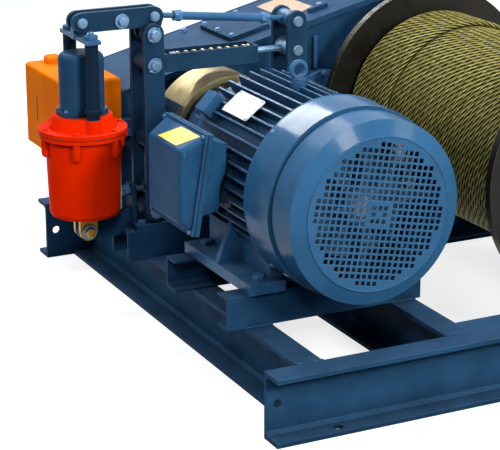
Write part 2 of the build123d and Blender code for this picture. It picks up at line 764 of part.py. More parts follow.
def build_terminal_box():
    low = (MX - TB_FLANGE_LOW[0], MZ - TB_FLANGE_LOW[1])
    top = (MX - TB_FLANGE_TOP[0], MZ + TB_FLANGE_TOP[1])
    size = hypot(top[0] - low[0], top[1] - low[1])
    along = ((top[0] - low[0]) / size, (top[1] - low[1]) / size)
    out = (-along[1], along[0])
    w = TB_WALL
    flange_t = TB_FLANGE_T

    def flange_in(rise):
        share = (rise + TB_FLANGE_LOW[1]) / (TB_FLANGE_LOW[1] + TB_FLANGE_TOP[1])
        return TB_FLANGE_LOW[0] + share * (TB_FLANGE_TOP[0] - TB_FLANGE_LOW[0])

    def body_form(wall):
        roof, floor = TB_BODY_TOP - wall, wall - TB_BODY_LOW
        side = [(x + wall, z) for x, z in TB_SIDE]
        side[0] = (side[0][0], side[0][1] - wall)
        side[-1] = (side[-1][0], side[-1][1] + wall)
        points = [(flange_in(roof), roof)] + side + [(flange_in(floor), floor)]
        ys = (TB_YS[0] + TB_BODY_IN + wall, TB_YS[1] - TB_BODY_IN - wall)
        return plate_y([(MX - x, MZ + z) for x, z in points], ys)

    low_in = (low[0] - flange_t * out[0], low[1] - flange_t * out[1])
    top_in = (top[0] - flange_t * out[0], top[1] - flange_t * out[1])
    neck_x = (MX - TB_SIDE[-1][0], MX - TB_PAD_X)
    neck_z = (MZ - TB_NECK_LOW, MZ + TB_PAD_LOW)
    box = plate_y([low, top, top_in, low_in], TB_YS) + body_form(0)
    box += block(neck_x, span(TB_MID, 2 * TB_PAD), neck_z)
    box -= body_form(w)
    box -= block((neck_x[0] - 2 * w, neck_x[1] - w), span(TB_MID, 2 * TB_PAD - 2 * w),
                 (neck_z[0] + w, neck_z[1] - w))
    low_side = TB_SIDE[-1]
    rise = (low_side[1] + TB_BODY_LOW) / (flange_in(-TB_BODY_LOW) - low_side[0])
    floor_z = MZ + low_side[1] - rise * (TB_GLAND_IN - low_side[0])
    gland = (floor_z - TB_GLAND_H, floor_z + TB_GLAND_IN_H)
    box += rod_z(MX - TB_GLAND_IN, TB_MID, gland, TB_GLAND_R)
    box -= rod_z(MX - TB_GLAND_IN, TB_MID, past(gland), TB_GLAND_BORE)
    node("terminal_box", box)

    t = TB_LID_T
    low2 = (low[0] + t * out[0], low[1] + t * out[1])
    top2 = (top[0] + t * out[0], top[1] + t * out[1])
    lid = plate_y([low, top, top2, low2], TB_YS)

    def lid_form(inset, face_inset):
        def on(p, k):
            return (p[0] + k * along[0], p[1] + k * along[1])
        a, b = on(low2, inset), on(top2, -inset)
        y0, y1 = TB_YS[0] + inset, TB_YS[1] - inset
        corners = ((a, y0), (b, y0), (b, y1), (a, y1))
        ring1 = Polyline(*[(x, y, z) for (x, z), y in corners], close=True)
        fx = MX - TB_FACE_X + face_inset
        z0, z1 = MZ - TB_FACE_LOW + face_inset, MZ + TB_FACE_TOP - face_inset
        f0, f1 = MY - TB_FACE_Y0 + face_inset, MY + TB_FACE_Y1 - face_inset
        ring2 = Polyline((fx, f0, z0), (fx, f0, z1), (fx, f1, z1), (fx, f1, z0), close=True)
        return loft([make_face(ring1), make_face(ring2)], ruled=True)

    def off_flange(edge):
        p = edge.center()
        return (p.X - low2[0]) * out[0] + (p.Z - low2[1]) * out[1] > t

    crown = lid_form(TB_INSET, 0)
    lid += fillet(crown.edges().filter_by(off_flange), TB_ROUND)
    lid -= lid_form(TB_INSET + TB_WALL, TB_WALL)
    node("terminal_lid", lid)


def stepped(x, start, steps):
    """Stepped shaft along Y from (end, radius) steps."""
    points = [(0, start)]
    y = start
    for end, r in steps:
        points += [(r, y), (r, end)]
        y = end
    points.append((0, y))
    return turned(points, x, MZ)


def on_circle(count, r, x, z):
    return [(x + r * cos(2 * pi * i / count), z + r * sin(2 * pi * i / count)) for i in range(count)]


WEB_Y = COUP_FACE + COUP_GAP
PIN_PLACES = on_circle(PIN_COUNT, PIN_PCR, MX, MZ)


def build_coupling():
    flange = (COUP_FACE - COUP_FLANGE, COUP_FACE)
    hub = (SHOULDER + COUP_SHOULDER_GAP, COUP_FACE)
    half = ring(MX, MZ, hub, COUP_HUB_R, MSHAFT_END_R + RUN_FIT)
    half += ring(MX, MZ, flange, COUP_R, COUP_HUB_R - COUP_GAP)
    half -= [rod_y(x, past(flange), z, PIN_BUSH_R + CURVE_GAP) for x, z in PIN_PLACES]
    node("motor_coupling_half", half)
    web = (WEB_Y, WEB_Y + WHEEL_WEB)
    wheel = ring(MX, MZ, span(YB, WHEEL_W), WHEEL_R, WHEEL_R - WHEEL_RIM)
    wheel += ring(MX, MZ, web, WHEEL_R - WHEEL_RIM / 2, IN_R + RUN_FIT)
    wheel += ring(MX, MZ, (WEB_Y, YB + WHEEL_W / 2), WHEEL_HUB_R, IN_R + RUN_FIT)
    wheel -= [rod_y(x, past(web), z, PIN_R + CURVE_GAP) for x, z in PIN_PLACES]
    node("brake_wheel", wheel)
    pins = []
    for x, z in PIN_PLACES:
        pin = rod_y(x, (flange[0] - PIN_HEAD, web[1] + PIN_HEAD), z, PIN_R)
        pin += rod_y(x, flange, z, PIN_BUSH_R)
        pin += rod_y(x, (flange[0] - PIN_HEAD, flange[0]), z, HEX * PIN_R)
        pin += rod_y(x, (web[1], web[1] + PIN_HEAD), z, HEX * PIN_R)
        pins.append(pin)
    node("coupling_pins", *pins)


# Gearbox stations
G1_YS = (GF + G1_IN, GF + G1_IN + G1_W)
G2_YS = (G1_YS[1] + G12_GAP, G1_YS[1] + G12_GAP + G2_W)
G3_YS = (G2_YS[1] + G12_GAP, G2_YS[1] + G12_GAP + G3_W)
BOSS_F = (GF - GB_BOSS_OUT, GF - GB_BOSS_OUT + GB_BOSS_L)
BOSS_R = (GR + GB_BOSS_OUT - GB_BOSS_L, GR + GB_BOSS_OUT)
GB_SHAFTS = ((MX, IN_BRG), (S2X, S2_BRG), (S3X, S3_BRG), (DX, OUT_BRG))


def wider(ys):
    return (ys[0] - G_EXTRA / 2, ys[1] + G_EXTRA / 2)


def build_gears():
    def body_shaft(x, brg, start, body_r, first_r):
        steps = [(BOSS_F[0], first_r)] if start < BOSS_F[0] else []
        steps += [(BOSS_F[0] + brg[2], brg[0]), (BOSS_R[1] - brg[2], body_r)]
        steps.append((BOSS_R[1] - HOLE_FIT, brg[0]))
        return stepped(x, start, steps)

    body1 = Z1P * M1 / 2 - TOOTH_DED * M1 - HOLE_FIT
    body2 = Z2P * M2 / 2 - TOOTH_DED * M2 - HOLE_FIT
    body3 = Z3P * M3 / 2 - TOOTH_DED * M3 - HOLE_FIT
    start = BOSS_F[0] + HOLE_FIT
    shaft = body_shaft(MX, IN_BRG, WEB_Y + HOLE_FIT, body1, IN_R)
    node("gearbox_input_shaft", shaft + gear(Z1P, M1, MX, MZ, wider(G1_YS), 0, 0))
    shaft = body_shaft(S2X, S2_BRG, start, body2, body2)
    node("second_shaft", shaft + gear(Z2P, M2, S2X, MZ, wider(G2_YS), 0, 0))
    shaft = body_shaft(S3X, S3_BRG, start, body3, body3)
    node("third_shaft", shaft + gear(Z3P, M3, S3X, MZ, wider(G3_YS), 0, 0))
    node("first_stage_gear", gear(Z1W, M1, S2X, MZ, G1_YS, pi / Z1W, body2 + RUN_FIT))
    node("second_stage_gear", gear(Z2W, M2, S3X, MZ, G2_YS, pi / Z2W, body3 + RUN_FIT))
    node("third_stage_gear", gear(Z3W, M3, DX, MZ, G3_YS, 0, DSHAFT_R + RUN_FIT))


def build_bearings():
    solids = []
    for y in ((DE_FACE - SHIELD_LIP - MBRG_W, DE_FACE - SHIELD_LIP),
              (FE_FACE + SHIELD_LIP, FE_FACE + SHIELD_LIP + MBRG_W)):
        solids.append(ring(MX, MZ, y, MBRG_R, MBRG_BORE + RUN_FIT))
    for x, (bore, r, w) in GB_SHAFTS:
        for y in ((BOSS_F[0], BOSS_F[0] + w), (BOSS_R[1] - w, BOSS_R[1])):
            solids.append(ring(x, MZ, y, r, bore + RUN_FIT))
    solids.append(ring(DX, MZ, span(WEB_F, PED_BRG_W), PED_BRG_R, DSHAFT_FRONT_R + RUN_FIT))
    node("rolling_bearings", *solids)


def build_gearbox():
    long = (GL, GE)
    wide = (GF, GR)
    flange = (GF - GB_FLANGE_W, GR + GB_FLANGE_W)
    inside_x = (GL + GB_WALL, GE - GB_WALL)
    inside_y = (GF + GB_WALL, GR - GB_WALL)
    seats = [(x, y, brg[1]) for x, brg in GB_SHAFTS for y in (BOSS_F, BOSS_R)]
    bosses = [rod_y(x, y, MZ, r + BOSS_WALL) for x, y, r in seats]
    bores = [rod_y(x, past(y), MZ, r + RUN_FIT) for x, y, r in seats]
    far = 2 * BASE_W
    under = block((-far, far), (-far, far), (MZ - far, MZ))
    above = block((-far, far), (-far, far), (MZ, MZ + far))
    split = (MZ - 2 * GB_FLANGE_T, MZ + 2 * GB_FLANGE_T)

    lower = block(long, wide, (CH_H, MZ))
    lower -= block(inside_x, inside_y, (CH_H + GB_FLOOR, MZ + CUT_PAST))
    lower += block(long, (GF - GB_FRONT_FOOT, GF), (CH_H, CH_H + GB_FOOT_T))
    lower += block(long, (GR, WEB_R + CH_B - GB_FOOT_IN), (CH_H, CH_H + GB_FOOT_T))
    for y in ((flange[0], GF), (GR, flange[1])):
        lower += block(long, y, (MZ - GB_FLANGE_T, MZ))
    lower += [b & under for b in bosses]
    lower -= bores
    foot_zs = past((CH_H, CH_H + GB_FOOT_T))
    lower = drilled(lower, GB_FRONT_HOLES + GB_BACK_HOLES, foot_zs, BOLT_R)
    lower = drilled(lower, SPLIT_HOLES, split, CAP_BOLT_R)
    node("gearbox_lower_housing", lower)

    def top_z(x):
        return MZ + GB_TOP + GB_SLOPE * (x - MX)

    def outline(t):
        lean = t * sqrt(1 + GB_SLOPE ** 2)
        peak = DX + GB_PEAK
        return [(GL + t, MZ), (GL + t, top_z(GL + t) - lean), (peak, top_z(peak) - lean),
                (GE - t, MZ + GB_END_TOP - t / 2), (GE - t, MZ)]

    def rounded(body, left, right, r):
        def on_top(edge):
            return left < edge.center().X < right and edge.center().Z > MZ + CUT_PAST
        return fillet(body.edges().filter_by(Axis.Y).filter_by(on_top), r)

    cover = rounded(plate_y(outline(0), wide), GL - CUT_PAST, MX, GB_CORNER)
    cover = rounded(cover, S3X, GE + CUT_PAST, GB_ROUND)
    cover -= plate_y(outline(GB_WALL), inside_y)
    for y in ((flange[0], GF), (GR, flange[1])):
        cover += block(long, y, (MZ, MZ + GB_FLANGE_T))
    cover += [b & above for b in bosses]
    cover -= bores
    hatch_x = MX + HATCH_X
    lean = degrees(atan2(GB_SLOPE, 1))
    hatch = Pos(hatch_x, (GF + GR) / 2, top_z(hatch_x)) * Rot(0, -lean, 0)
    cover -= hatch * Box(HATCH[0] - 2 * HATCH_LAP, HATCH[1] - 2 * HATCH_LAP, 4 * GB_WALL)
    cover = drilled(cover, SPLIT_HOLES, split, CAP_BOLT_R)
    node("gearbox_cover", cover)
    node("inspection_cover", hatch * Pos(0, 0, HATCH[2] / 2) * Box(*HATCH))

    caps = []
    front = (BOSS_F[0] - CAP_T, BOSS_F[0])
    for x, (bore, r, w) in GB_SHAFTS:
        cap = rod_y(x, front, MZ, r + BOSS_WALL)
        if x == MX:
            cap -= rod_y(x, past(front), MZ, IN_R + SEAL_GAP)
        if x == DX:
            cap -= rod_y(x, past(front), MZ, DSHAFT_R + SEAL_GAP)
        caps += [cap, rod_y(x, (BOSS_R[1], BOSS_R[1] + CAP_T), MZ, r + BOSS_WALL)]
    node("bearing_caps", *caps)

    xs = (GL - CTRL_W, GL)
    ys = (GF - CTRL_FRONT, GF - CTRL_FRONT + CTRL_D)
    zs = (MZ - CTRL_LOW, MZ - CTRL_LOW + CTRL_H)
    box = block(xs, ys, zs)
    box = fillet(box.edges().filter_by(Axis.Z).group_by(Axis.X)[0], CTRL_R)
    box = fillet(box.faces().sort_by(Axis.Z)[-1].edges(), CTRL_R / 2)
    w = CTRL_WALL
    box -= block((xs[0] + w, xs[1] - w), (ys[0] + w, ys[1] - w), (zs[0] + w, zs[1] - w))
    node("control_box", box)


def build_drum():
    steps = [(DF - FLANGE_T, DSHAFT_FRONT_R), (BOSS_R[1] - HOLE_FIT, DSHAFT_R)]
    node("drum_shaft", stepped(DX, WEB_F - DSHAFT_END, steps))
    bore = DSHAFT_R + RUN_FIT
    far = ring(DX, MZ, (DB, DB + FLANGE_T), FLANGE_R, bore)
    far += ring(DX, MZ, (DB + FLANGE_T - FLANGE_HUB_L, DB + FLANGE_T), FLANGE_HUB_R, bore)
    near = ring(DX, MZ, (DF - FLANGE_T, DF), FLANGE_R, bore)
    near += ring(DX, MZ, (DF - FLANGE_T, DF - FLANGE_T + FLANGE_HUB_L), FLANGE_HUB_R, bore)
    node("drum_flanges", far, near)
    node("drum_shell", ring(DX, MZ, (DF, DB), SHELL_R, SHELL_R - SHELL_T))
    core_r = ROPE_TOP_R - ROPE_D - CORE_GAP
    node("rope_core", ring(DX, MZ, (DF, DB), core_r, SHELL_R + CURVE_GAP))
    rope = wound_tube(ROPE_TOP_R - ROPE_D / 2, DB - DF, ROPE_LOOPS, ROPE_D, ROPE_BEND, "rope")
    node("rope_winding", Pos(DX, DF, MZ) * Rot(-90, 0, 0) * rope)

    plate_top = CH_H + PED_PLATE
    half = PED_BRG_R + PED_RING
    ys = span(WEB_F, PED_BODY_D)
    body = block(span(DX, PED_W), span(WEB_F, PED_D), (CH_H, plate_top))
    ear = MZ - PED_EAR_T
    body += plate_y([(DX - PED_BODY_LOW, plate_top), (DX + PED_BODY_LOW, plate_top), (DX + half, ear),
                     (DX + half, MZ), (DX - half, MZ), (DX - half, ear)], ys)
    body += block(span(DX, 2 * PED_EAR), ys, (ear, MZ))
    bore = rod_y(DX, past(ys), MZ, PED_BRG_R + RUN_FIT)
    body = drilled(body - bore, PED_FRONT_HOLES + PED_BACK_HOLES, past((CH_H, plate_top)), BOLT_R)
    ear_zs = past((ear, MZ + PED_EAR_T))
    node("pedestal", drilled(body, PED_CAP_HOLES, ear_zs, BOLT_R))
    far_z = block(span(DX, 2 * BASE_W), span(WEB_F, 2 * BASE_D), (MZ, MZ + BASE_W))
    cap = rod_y(DX, ys, MZ, half) & far_z
    cap += block(span(DX, 2 * PED_EAR), ys, (MZ, MZ + PED_EAR_T))
    node("pedestal_cap", drilled(cap - bore, PED_CAP_HOLES, ear_zs, BOLT_R))


def pin_y(x, z, r, half, cap_r):
    """Pin along Y through the brake's middle plane, capped clear of the plates that it joins."""
    end = half + CURVE_GAP + PIN_CAP_T
    pin = rod_y(x, span(YB, 2 * (end + PIN_OUT / 2)), z, r)
    for y in ((YB - end, YB - end + PIN_CAP_T), (YB + end - PIN_CAP_T, YB + end)):
        pin += rod_y(x, y, z, cap_r)
    return pin


ARM_OUT = ARM_IN + ARM_T
TX = MX + TH_X
TZ = PZ - TH_PIN_DROP


def build_brake_base():
    base = block(span(MX, 2 * BB_HALF), span(YB, BB_W), (CH_H, BB_TOP))
    inside = (CH_H - CUT_PAST, BB_TOP - BB_T)
    base -= block(span(MX, 4 * BB_HALF), span(YB, BB_W - 2 * BB_T), inside)
    hole_zs = (BB_TOP - 2 * BB_T, PZ + BP_T)
    node("brake_base", drilled(base, BB_HOLES, hole_zs, BB_BOLT_R))

    plate = block(span(MX, 2 * BP_HALF), span(YB, BB_W), (BB_TOP, PZ))
    tongue_ys = span(YB, 2 * TONGUE_HALF)
    end = MX - BB_HALF - HOLE_FIT
    plate += block((TX, end), tongue_ys, span(TZ, 2 * TONGUE_R))
    plate += rod_y(TX, tongue_ys, TZ, TONGUE_R)
    gusset = [(TX + x, TZ + z) for x, z in TONGUE_RISE]
    lap = MX - BP_HALF + TONGUE_LAP
    plate += block((end, lap), tongue_ys, (BB_TOP, TZ + TONGUE_R))
    plate += plate_y([(gusset[0][0], TZ)] + gusset + [(lap, gusset[-1][1]), (lap, TZ)], tongue_ys)
    pivot_z = MZ + ARM_LOW
    lug_ys = span(YB, 2 * LUG_HALF)
    stops = []
    for side in (-1, 1):
        x = MX + side * ARM_X
        plate += block(span(x, 2 * LUG_R), lug_ys, (PZ, pivot_z))
        plate += rod_y(x, lug_ys, pivot_z, LUG_R)
        plate -= rod_y(x, span(YB, 4 * LUG_HALF), pivot_z, ARM_PIN_R + RUN_FIT)
        stop_z = MZ + STOP_Z
        sx = MX + side * STOP_X
        plate += block(span(sx, STOP_T), span(YB, 2 * STOP_HALF), (PZ, stop_z + STOP_TOP))
        plate -= rod_x(span(sx, 4 * STOP_T), YB, stop_z, STOP_BOLT_R + RUN_FIT)
        tip = MX + side * (ARM_X + ARM_BAR / 2 + STOP_GAP)
        tail = sx + side * (STOP_T / 2 + STOP_OUT)
        stop = rod_x(sorted((tip, tail)), YB, stop_z, STOP_BOLT_R)
        stop += rod_x(sorted((tail, tail - side * STOP_HEAD)), YB, stop_z, STOP_HEAD_R)
        face = sx + side * STOP_T / 2
        stop += rod_x(sorted((face, face + side * STOP_HEAD)), YB, stop_z, STOP_HEAD_R)
        stops.append(stop)
    plate -= rod_y(TX, span(YB, 4 * TONGUE_HALF), TZ, TH_PIN_R + RUN_FIT)
    node("brake_base_plate", drilled(plate, BB_HOLES, hole_zs, BB_BOLT_R))
    node("stop_bolts", *stops)
    pins = [pin_y(MX + s * ARM_X, pivot_z, ARM_PIN_R, ARM_OUT, PIN_CAP_R) for s in (-1, 1)]
    pins.append(pin_y(TX, TZ, TH_PIN_R, FORK_IN + FORK_T, PIN_CAP_R))
    node("brake_base_pins", *pins)


def build_arms():
    tops = {"left": LEVER_Z, "right": TIE_RIGHT_Z}
    for name, side in (("left", -1), ("right", 1)):
        x = MX + side * ARM_X
        heights = (SHOE_PIN, SPRING_Z, tops[name])
        arm = block(span(x, ARM_BAR), span(YB, 2 * ARM_OUT), span(MZ + STOP_Z, ARM_BAR))
        for way in (-1, 1):
            ys = sorted((YB + way * ARM_IN, YB + way * ARM_OUT))
            arm += capsule((x, MZ + ARM_LOW), (x, MZ + tops[name]), ARM_W / 2, ys)
        for h in (ARM_LOW,) + heights:
            arm -= rod_y(x, span(YB, 4 * ARM_OUT), MZ + h, ARM_PIN_R + RUN_FIT)
        node(f"{name}_arm", arm)
        cap_r = PIN_CAP_R if side < 0 else RIGHT_CAP_R
        node(f"{name}_arm_pins", *[pin_y(x, MZ + h, ARM_PIN_R, ARM_OUT, cap_r) for h in heights])

        r0 = WHEEL_R + CURVE_GAP
        r1 = r0 + LINING_T
        r2 = r1 + SHOE_T
        ys = span(YB, SHOE_W)
        reach = 2 * r2
        wedge = [(MX, MZ)]
        for turn in (-SHOE_ANGLE, SHOE_ANGLE):
            a = radians(turn)
            wedge.append((MX + side * reach * cos(a), MZ + reach * sin(a)))
        wedge = plate_y(wedge, ys)
        node(f"{name}_lining", ring(MX, MZ, ys, r1 - RUN_FIT, r0) & wedge)
        shoe = ring(MX, MZ, ys, r2, r1) & wedge
        lug_ys = span(YB, 2 * SHOE_LUG_HALF)
        shoe += block(sorted((x, MX + side * (r1 + SHOE_T / 2))), lug_ys, span(MZ, 2 * SHOE_LUG_R))
        shoe += rod_y(x, lug_ys, MZ + SHOE_PIN, SHOE_LUG_R)
        node(f"{name}_shoe", shoe - rod_y(x, span(YB, 4 * SHOE_LUG_HALF), MZ, ARM_PIN_R + RUN_FIT))


def build_lever():
    def at(p):
        return (MX + p[0], MZ + p[1])

    pivot = (MX - ARM_X, MZ + LEVER_Z)
    plates = []
    for way in (-1, 1):
        ys = sorted((YB + way * LEVER_IN, YB + way * (LEVER_IN + LEVER_T)))
        plate = capsule(at(CLEVIS), at(TIE_LEFT), LEVER_R, ys)
        plate += capsule(at(TIE_LEFT), pivot, LEVER_R, ys)
        plate -= rod_y(pivot[0], span(YB, 4 * LEVER_IN), pivot[1], ARM_PIN_R + RUN_FIT)
        for x, z in (at(CLEVIS), at(TIE_LEFT), at(LEVER_SPACER)):
            plate -= rod_y(x, span(YB, 4 * LEVER_IN), z, LEVER_PIN_R + RUN_FIT)
        plates.append(plate)
    node("brake_lever", *plates)
    half = LEVER_IN + LEVER_T
    pins = [pin_y(*at(p), LEVER_PIN_R, half, LEVER_CAP_R) for p in (CLEVIS, TIE_LEFT)]
    spacer = pin_y(*at(LEVER_SPACER), LEVER_PIN_R, half, HEX * LEVER_PIN_R)
    x, z = at(LEVER_SPACER)
    spacer += rod_y(x, span(YB, 2 * LEVER_IN), z, LEVER_PIN_R + PIN_CAP_T)
    node("lever_pins", *pins, spacer)

    left = at(TIE_LEFT)
    right = (MX + ARM_X, MZ + TIE_RIGHT_Z)
    size = hypot(right[0] - left[0], right[1] - left[1])
    turn = degrees(atan2(right[1] - left[1], right[0] - left[0]))
    line = Pos(left[0], YB, left[1]) * Rot(0, -turn, 0)
    rod = line * rod_x((0, size), 0, 0, TIE_ROD_R)
    rod += line * rod_x((TIE_THREAD, size - TIE_THREAD), 0, 0, TIE_SLEEVE_R)
    rod += rod_y(left[0], span(YB, 2 * TIE_EYE_HALF), left[1], TIE_EYE_R)
    rod += rod_y(right[0], span(YB, 2 * (ARM_IN - SIDE_GAP)), right[1], TIE_EYE_R)
    rod -= rod_y(left[0], span(YB, 2 * ARM_OUT), left[1], LEVER_PIN_R + RUN_FIT)
    rod -= rod_y(right[0], span(YB, 2 * ARM_OUT), right[1], ARM_PIN_R + TIE_PLAY)
    node("tie_rod", rod)


def build_spring():
    axis_z = MZ + SPRING_Z
    x0, x1 = MX + TROUGH_LEFT, MX + TROUGH_RIGHT
    out_ys = span(YB, 2 * (TROUGH_HALF + TROUGH_T))
    zs = (axis_z - TROUGH_LOW - TROUGH_T, axis_z + TROUGH_UP)
    trough = block((x0, x1), out_ys, zs)
    inside = (axis_z - TROUGH_LOW, zs[1] + CUT_PAST)
    trough -= block((x0 + TROUGH_END, x1 - TROUGH_END), span(YB, 2 * TROUGH_HALF), inside)
    trough -= rod_x(span(x1, 4 * TROUGH_END), YB, axis_z, SPRING_ROD_R + SPRING_ROD_PLAY)
    pin_x = MX - ARM_X
    eye_ys = span(YB, 2 * (ARM_IN - SIDE_GAP))
    neck = span(axis_z, 2 * SPRING_ROD_R + 2 * TROUGH_T)
    trough += block((pin_x, x0), span(YB, 2 * TROUGH_HALF), neck)
    trough += rod_y(pin_x, eye_ys, axis_z, TROUGH_EYE_R)
    trough -= rod_y(pin_x, span(YB, 4 * ARM_IN), axis_z, ARM_PIN_R + RUN_FIT)
    node("spring_trough", trough)

    eye_x = MX + ARM_X
    seat = MX + SPRING_SEAT
    rod = rod_x((seat - SPRING_NUT, eye_x), YB, axis_z, SPRING_ROD_R)
    rod += rod_x((seat, seat + SPRING_SEAT_T), YB, axis_z, SPRING_SEAT_R)
    rod += rod_x((seat - SPRING_NUT, seat), YB, axis_z, SPRING_NUT_R)
    rod += rod_y(eye_x, eye_ys, axis_z, TROUGH_EYE_R)
    rod -= rod_y(eye_x, span(YB, 4 * ARM_IN), axis_z, ARM_PIN_R + RUN_FIT)
    node("spring_rod", rod)

    start = seat + SPRING_SEAT_T
    length = x1 - TROUGH_END - start
    coil = wound_tube(SPRING_R, length, SPRING_COILS, SPRING_WIRE, SPRING_BEND, "spring")
    node("brake_spring", Pos(start, YB, axis_z) * Rot(0, 90, 0) * coil)


def build_thruster():
    fork_top = TZ + FORK_TOP
    fork_ys = span(YB, 2 * (FORK_IN + FORK_T))
    fork = block(span(TX, 2 * FORK_R), fork_ys, (fork_top - FORK_T, fork_top))
    for way in (-1, 1):
        ys = sorted((YB + way * FORK_IN, YB + way * (FORK_IN + FORK_T)))
        fork += block(span(TX, 2 * FORK_R), ys, (TZ, fork_top))
        fork += rod_y(TX, ys, TZ, FORK_R)
    node("thruster_foot", fork - rod_y(TX, span(YB, 8 * FORK_IN), TZ, TH_PIN_R + RUN_FIT))

    z0 = fork_top
    z1 = z0 + TANK_H
    z2 = z1 + TANK_FLANGE_T
    w = TANK_WALL
    r = TANK_ROUND
    bend = r * (1 - cos(radians(45)))
    node("thruster_tank", turned_z([(0, z0), (TANK_R0 - r, z0), (TANK_R0 - bend, z0 + bend),
                                    (TANK_R0, z0 + r), (TANK_R1, z1), (TANK_FLANGE_R, z1),
                                    (TANK_FLANGE_R, z2), (TANK_R1 - w, z2), (TANK_R0 - w, z0 + r),
                                    (TANK_R0 - r, z0 + w), (0, z0 + w)], TX, YB))
    z3 = z2 + HEAD_H
    head = turned_z([(HEAD_R0 - w, z2), (TANK_FLANGE_R, z2), (TANK_FLANGE_R, z2 + TANK_FLANGE_T),
                     (HEAD_R0, z2 + TANK_FLANGE_T), (HEAD_R1, z3), (0, z3), (0, z3 - w),
                     (HEAD_R1 - w, z3 - w)], TX, YB)
    rod_ys = (YB - ROD_Y, YB + ROD_Y)
    pillars = [rod_z(TX, y, (z2, z3), HEAD_PILLAR_R) for y in rod_ys]
    head += pillars
    holes = [rod_z(TX, y, past((z2, z3)), ROD_R + CURVE_GAP) for y in rod_ys]
    node("thruster_head", head - holes)
    px, py, pt = TM_PLATE
    z4 = z3 + pt
    motor = rod_z(TX, YB, (z4 - pt / 2, z4 + TM_H + TM_DOME), TM_R)
    motor = fillet(motor.faces().sort_by(Axis.Z)[-1].edges(), TM_DOME)
    motor &= block(span(TX, 4 * TM_R), span(YB, 2 * TM_FLAT), (z3, z4 + 2 * TM_H))
    plate = block(span(TX, 2 * px), span(YB, 2 * py), (z3, z4))
    motor += chamfer(plate.edges().filter_by(Axis.Z), TM_CORNER)
    node("thruster_motor", motor)

    c0 = z4 + TM_H + TM_DOME + CROSS_GAP
    c1 = c0 + CROSS_T
    piston = (z0 + PISTON_UP, z0 + PISTON_UP + PISTON_T)
    rods = rod_z(TX, YB, piston, TANK_R0 - w - PISTON_GAP)
    for y in rod_ys:
        rods += rod_z(TX, y, (piston[0], z2), ROD_IN_R)
        rods += rod_z(TX, y, (z2, c1), ROD_R)
        rods += hex_z(TX, y, (c1, c1 + CROSS_NUT), CROSS_NUT_R)
    rods += block(span(TX, CROSS_W), span(YB, 2 * CROSS_HALF), (c0, c1))
    pin = (MX + CLEVIS[0], MZ + CLEVIS[1])
    tongue_ys = span(YB, 2 * CLEVIS_HALF)
    rods += block(span(pin[0], 2 * CLEVIS_R), tongue_ys, (c0, pin[1]))
    rods += rod_y(pin[0], tongue_ys, pin[1], CLEVIS_R)
    rods -= rod_y(pin[0], span(YB, 4 * CLEVIS_HALF), pin[1], LEVER_PIN_R + CLEVIS_PLAY)
    node("push_rods", rods)


build_frame()
build_bolts()
build_motor_housing()
build_motor_shields()
build_motor_inside()
build_cowl()
build_terminal_box()
build_coupling()
build_gears()
build_bearings()
build_gearbox()
build_drum()
build_brake_base()
build_arms()
build_lever()
build_spring()
build_thruster()
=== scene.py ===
import json
import math

import bmesh
import bpy
from mathutils import Matrix, Vector


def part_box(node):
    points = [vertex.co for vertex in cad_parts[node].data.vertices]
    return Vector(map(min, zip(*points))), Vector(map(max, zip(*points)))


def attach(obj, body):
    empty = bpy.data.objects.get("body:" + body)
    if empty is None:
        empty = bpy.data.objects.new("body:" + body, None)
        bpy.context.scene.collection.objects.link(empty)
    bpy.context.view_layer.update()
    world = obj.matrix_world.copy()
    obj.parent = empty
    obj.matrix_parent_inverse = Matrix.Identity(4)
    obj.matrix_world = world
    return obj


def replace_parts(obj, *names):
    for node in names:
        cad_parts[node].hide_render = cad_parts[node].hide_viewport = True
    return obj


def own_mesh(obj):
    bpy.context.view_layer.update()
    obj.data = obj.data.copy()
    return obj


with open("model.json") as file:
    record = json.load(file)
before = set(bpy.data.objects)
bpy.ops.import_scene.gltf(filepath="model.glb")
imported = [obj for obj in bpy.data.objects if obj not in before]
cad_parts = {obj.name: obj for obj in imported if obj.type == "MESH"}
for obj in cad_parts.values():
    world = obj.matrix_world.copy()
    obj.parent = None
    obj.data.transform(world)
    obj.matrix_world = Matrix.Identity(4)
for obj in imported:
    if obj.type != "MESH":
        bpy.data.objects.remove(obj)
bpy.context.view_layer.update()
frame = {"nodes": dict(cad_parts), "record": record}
NODES = frame["nodes"]
MM = 0.001


def ends(node, axis):
    """Low and high end of a CAD piece along one axis, in millimetres."""
    low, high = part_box(node)
    return low[axis] / MM, high[axis] / MM


def middle(node, axis):
    """Middle of a CAD piece along one axis, in millimetres."""
    return sum(ends(node, axis)) / 2


# Places read from the frame, in millimetres: motor axis, drum axis, brake middle, thruster axis
MX, MZ = middle("motor_shaft", 0), middle("motor_shaft", 2)
DX = middle("drum_shaft", 0)
YB = middle("left_lining", 1)
TX = middle("thruster_tank", 0)

# Directions, and signs for the two sides and four corners of a piece
UP, DOWN = (0, 0, 1), (0, 0, -1)
FRONT, REAR = (0, -1, 0), (0, 1, 0)
SIDES = (-1, 1)
CORNERS = [(sx, sy) for sx in SIDES for sy in SIDES]
LOOP = ((-1, -1), (1, -1), (1, 1), (-1, 1))
TURN = 2 * math.pi

# Rope, in millimetres
ROPE_D = 19.5
ROPE_GAP = 0.9          # between turns
ROPE_LAY = 118.0        # a strand's full turn round the rope
ROPE_STRANDS = 6
STRAND_POINTS = 3       # mesh points across a strand
ROPE_STEPS = 130        # mesh steps in a turn of the drum
ROPE_STEP_Y = -10.0     # start of the last, part layer
ROPE_SINK = 0.7         # diameters between the tops of the last two layers
UNDER_TURNS = 36        # waves on the layers below
UNDER_WAVE = 2.5        # half the height of a wave
SHELL_CLEAR = 0.5

# Brake spring, in millimetres
SPRING_R = 15.5
SPRING_WIRE = 7.0
SPRING_TURNS = 10.5
SPRING_CLOSED = 0.9     # closed turns at each end
SPRING_STEPS = 28       # mesh steps in a turn


# ---------------------------------------------------------------- surfaces

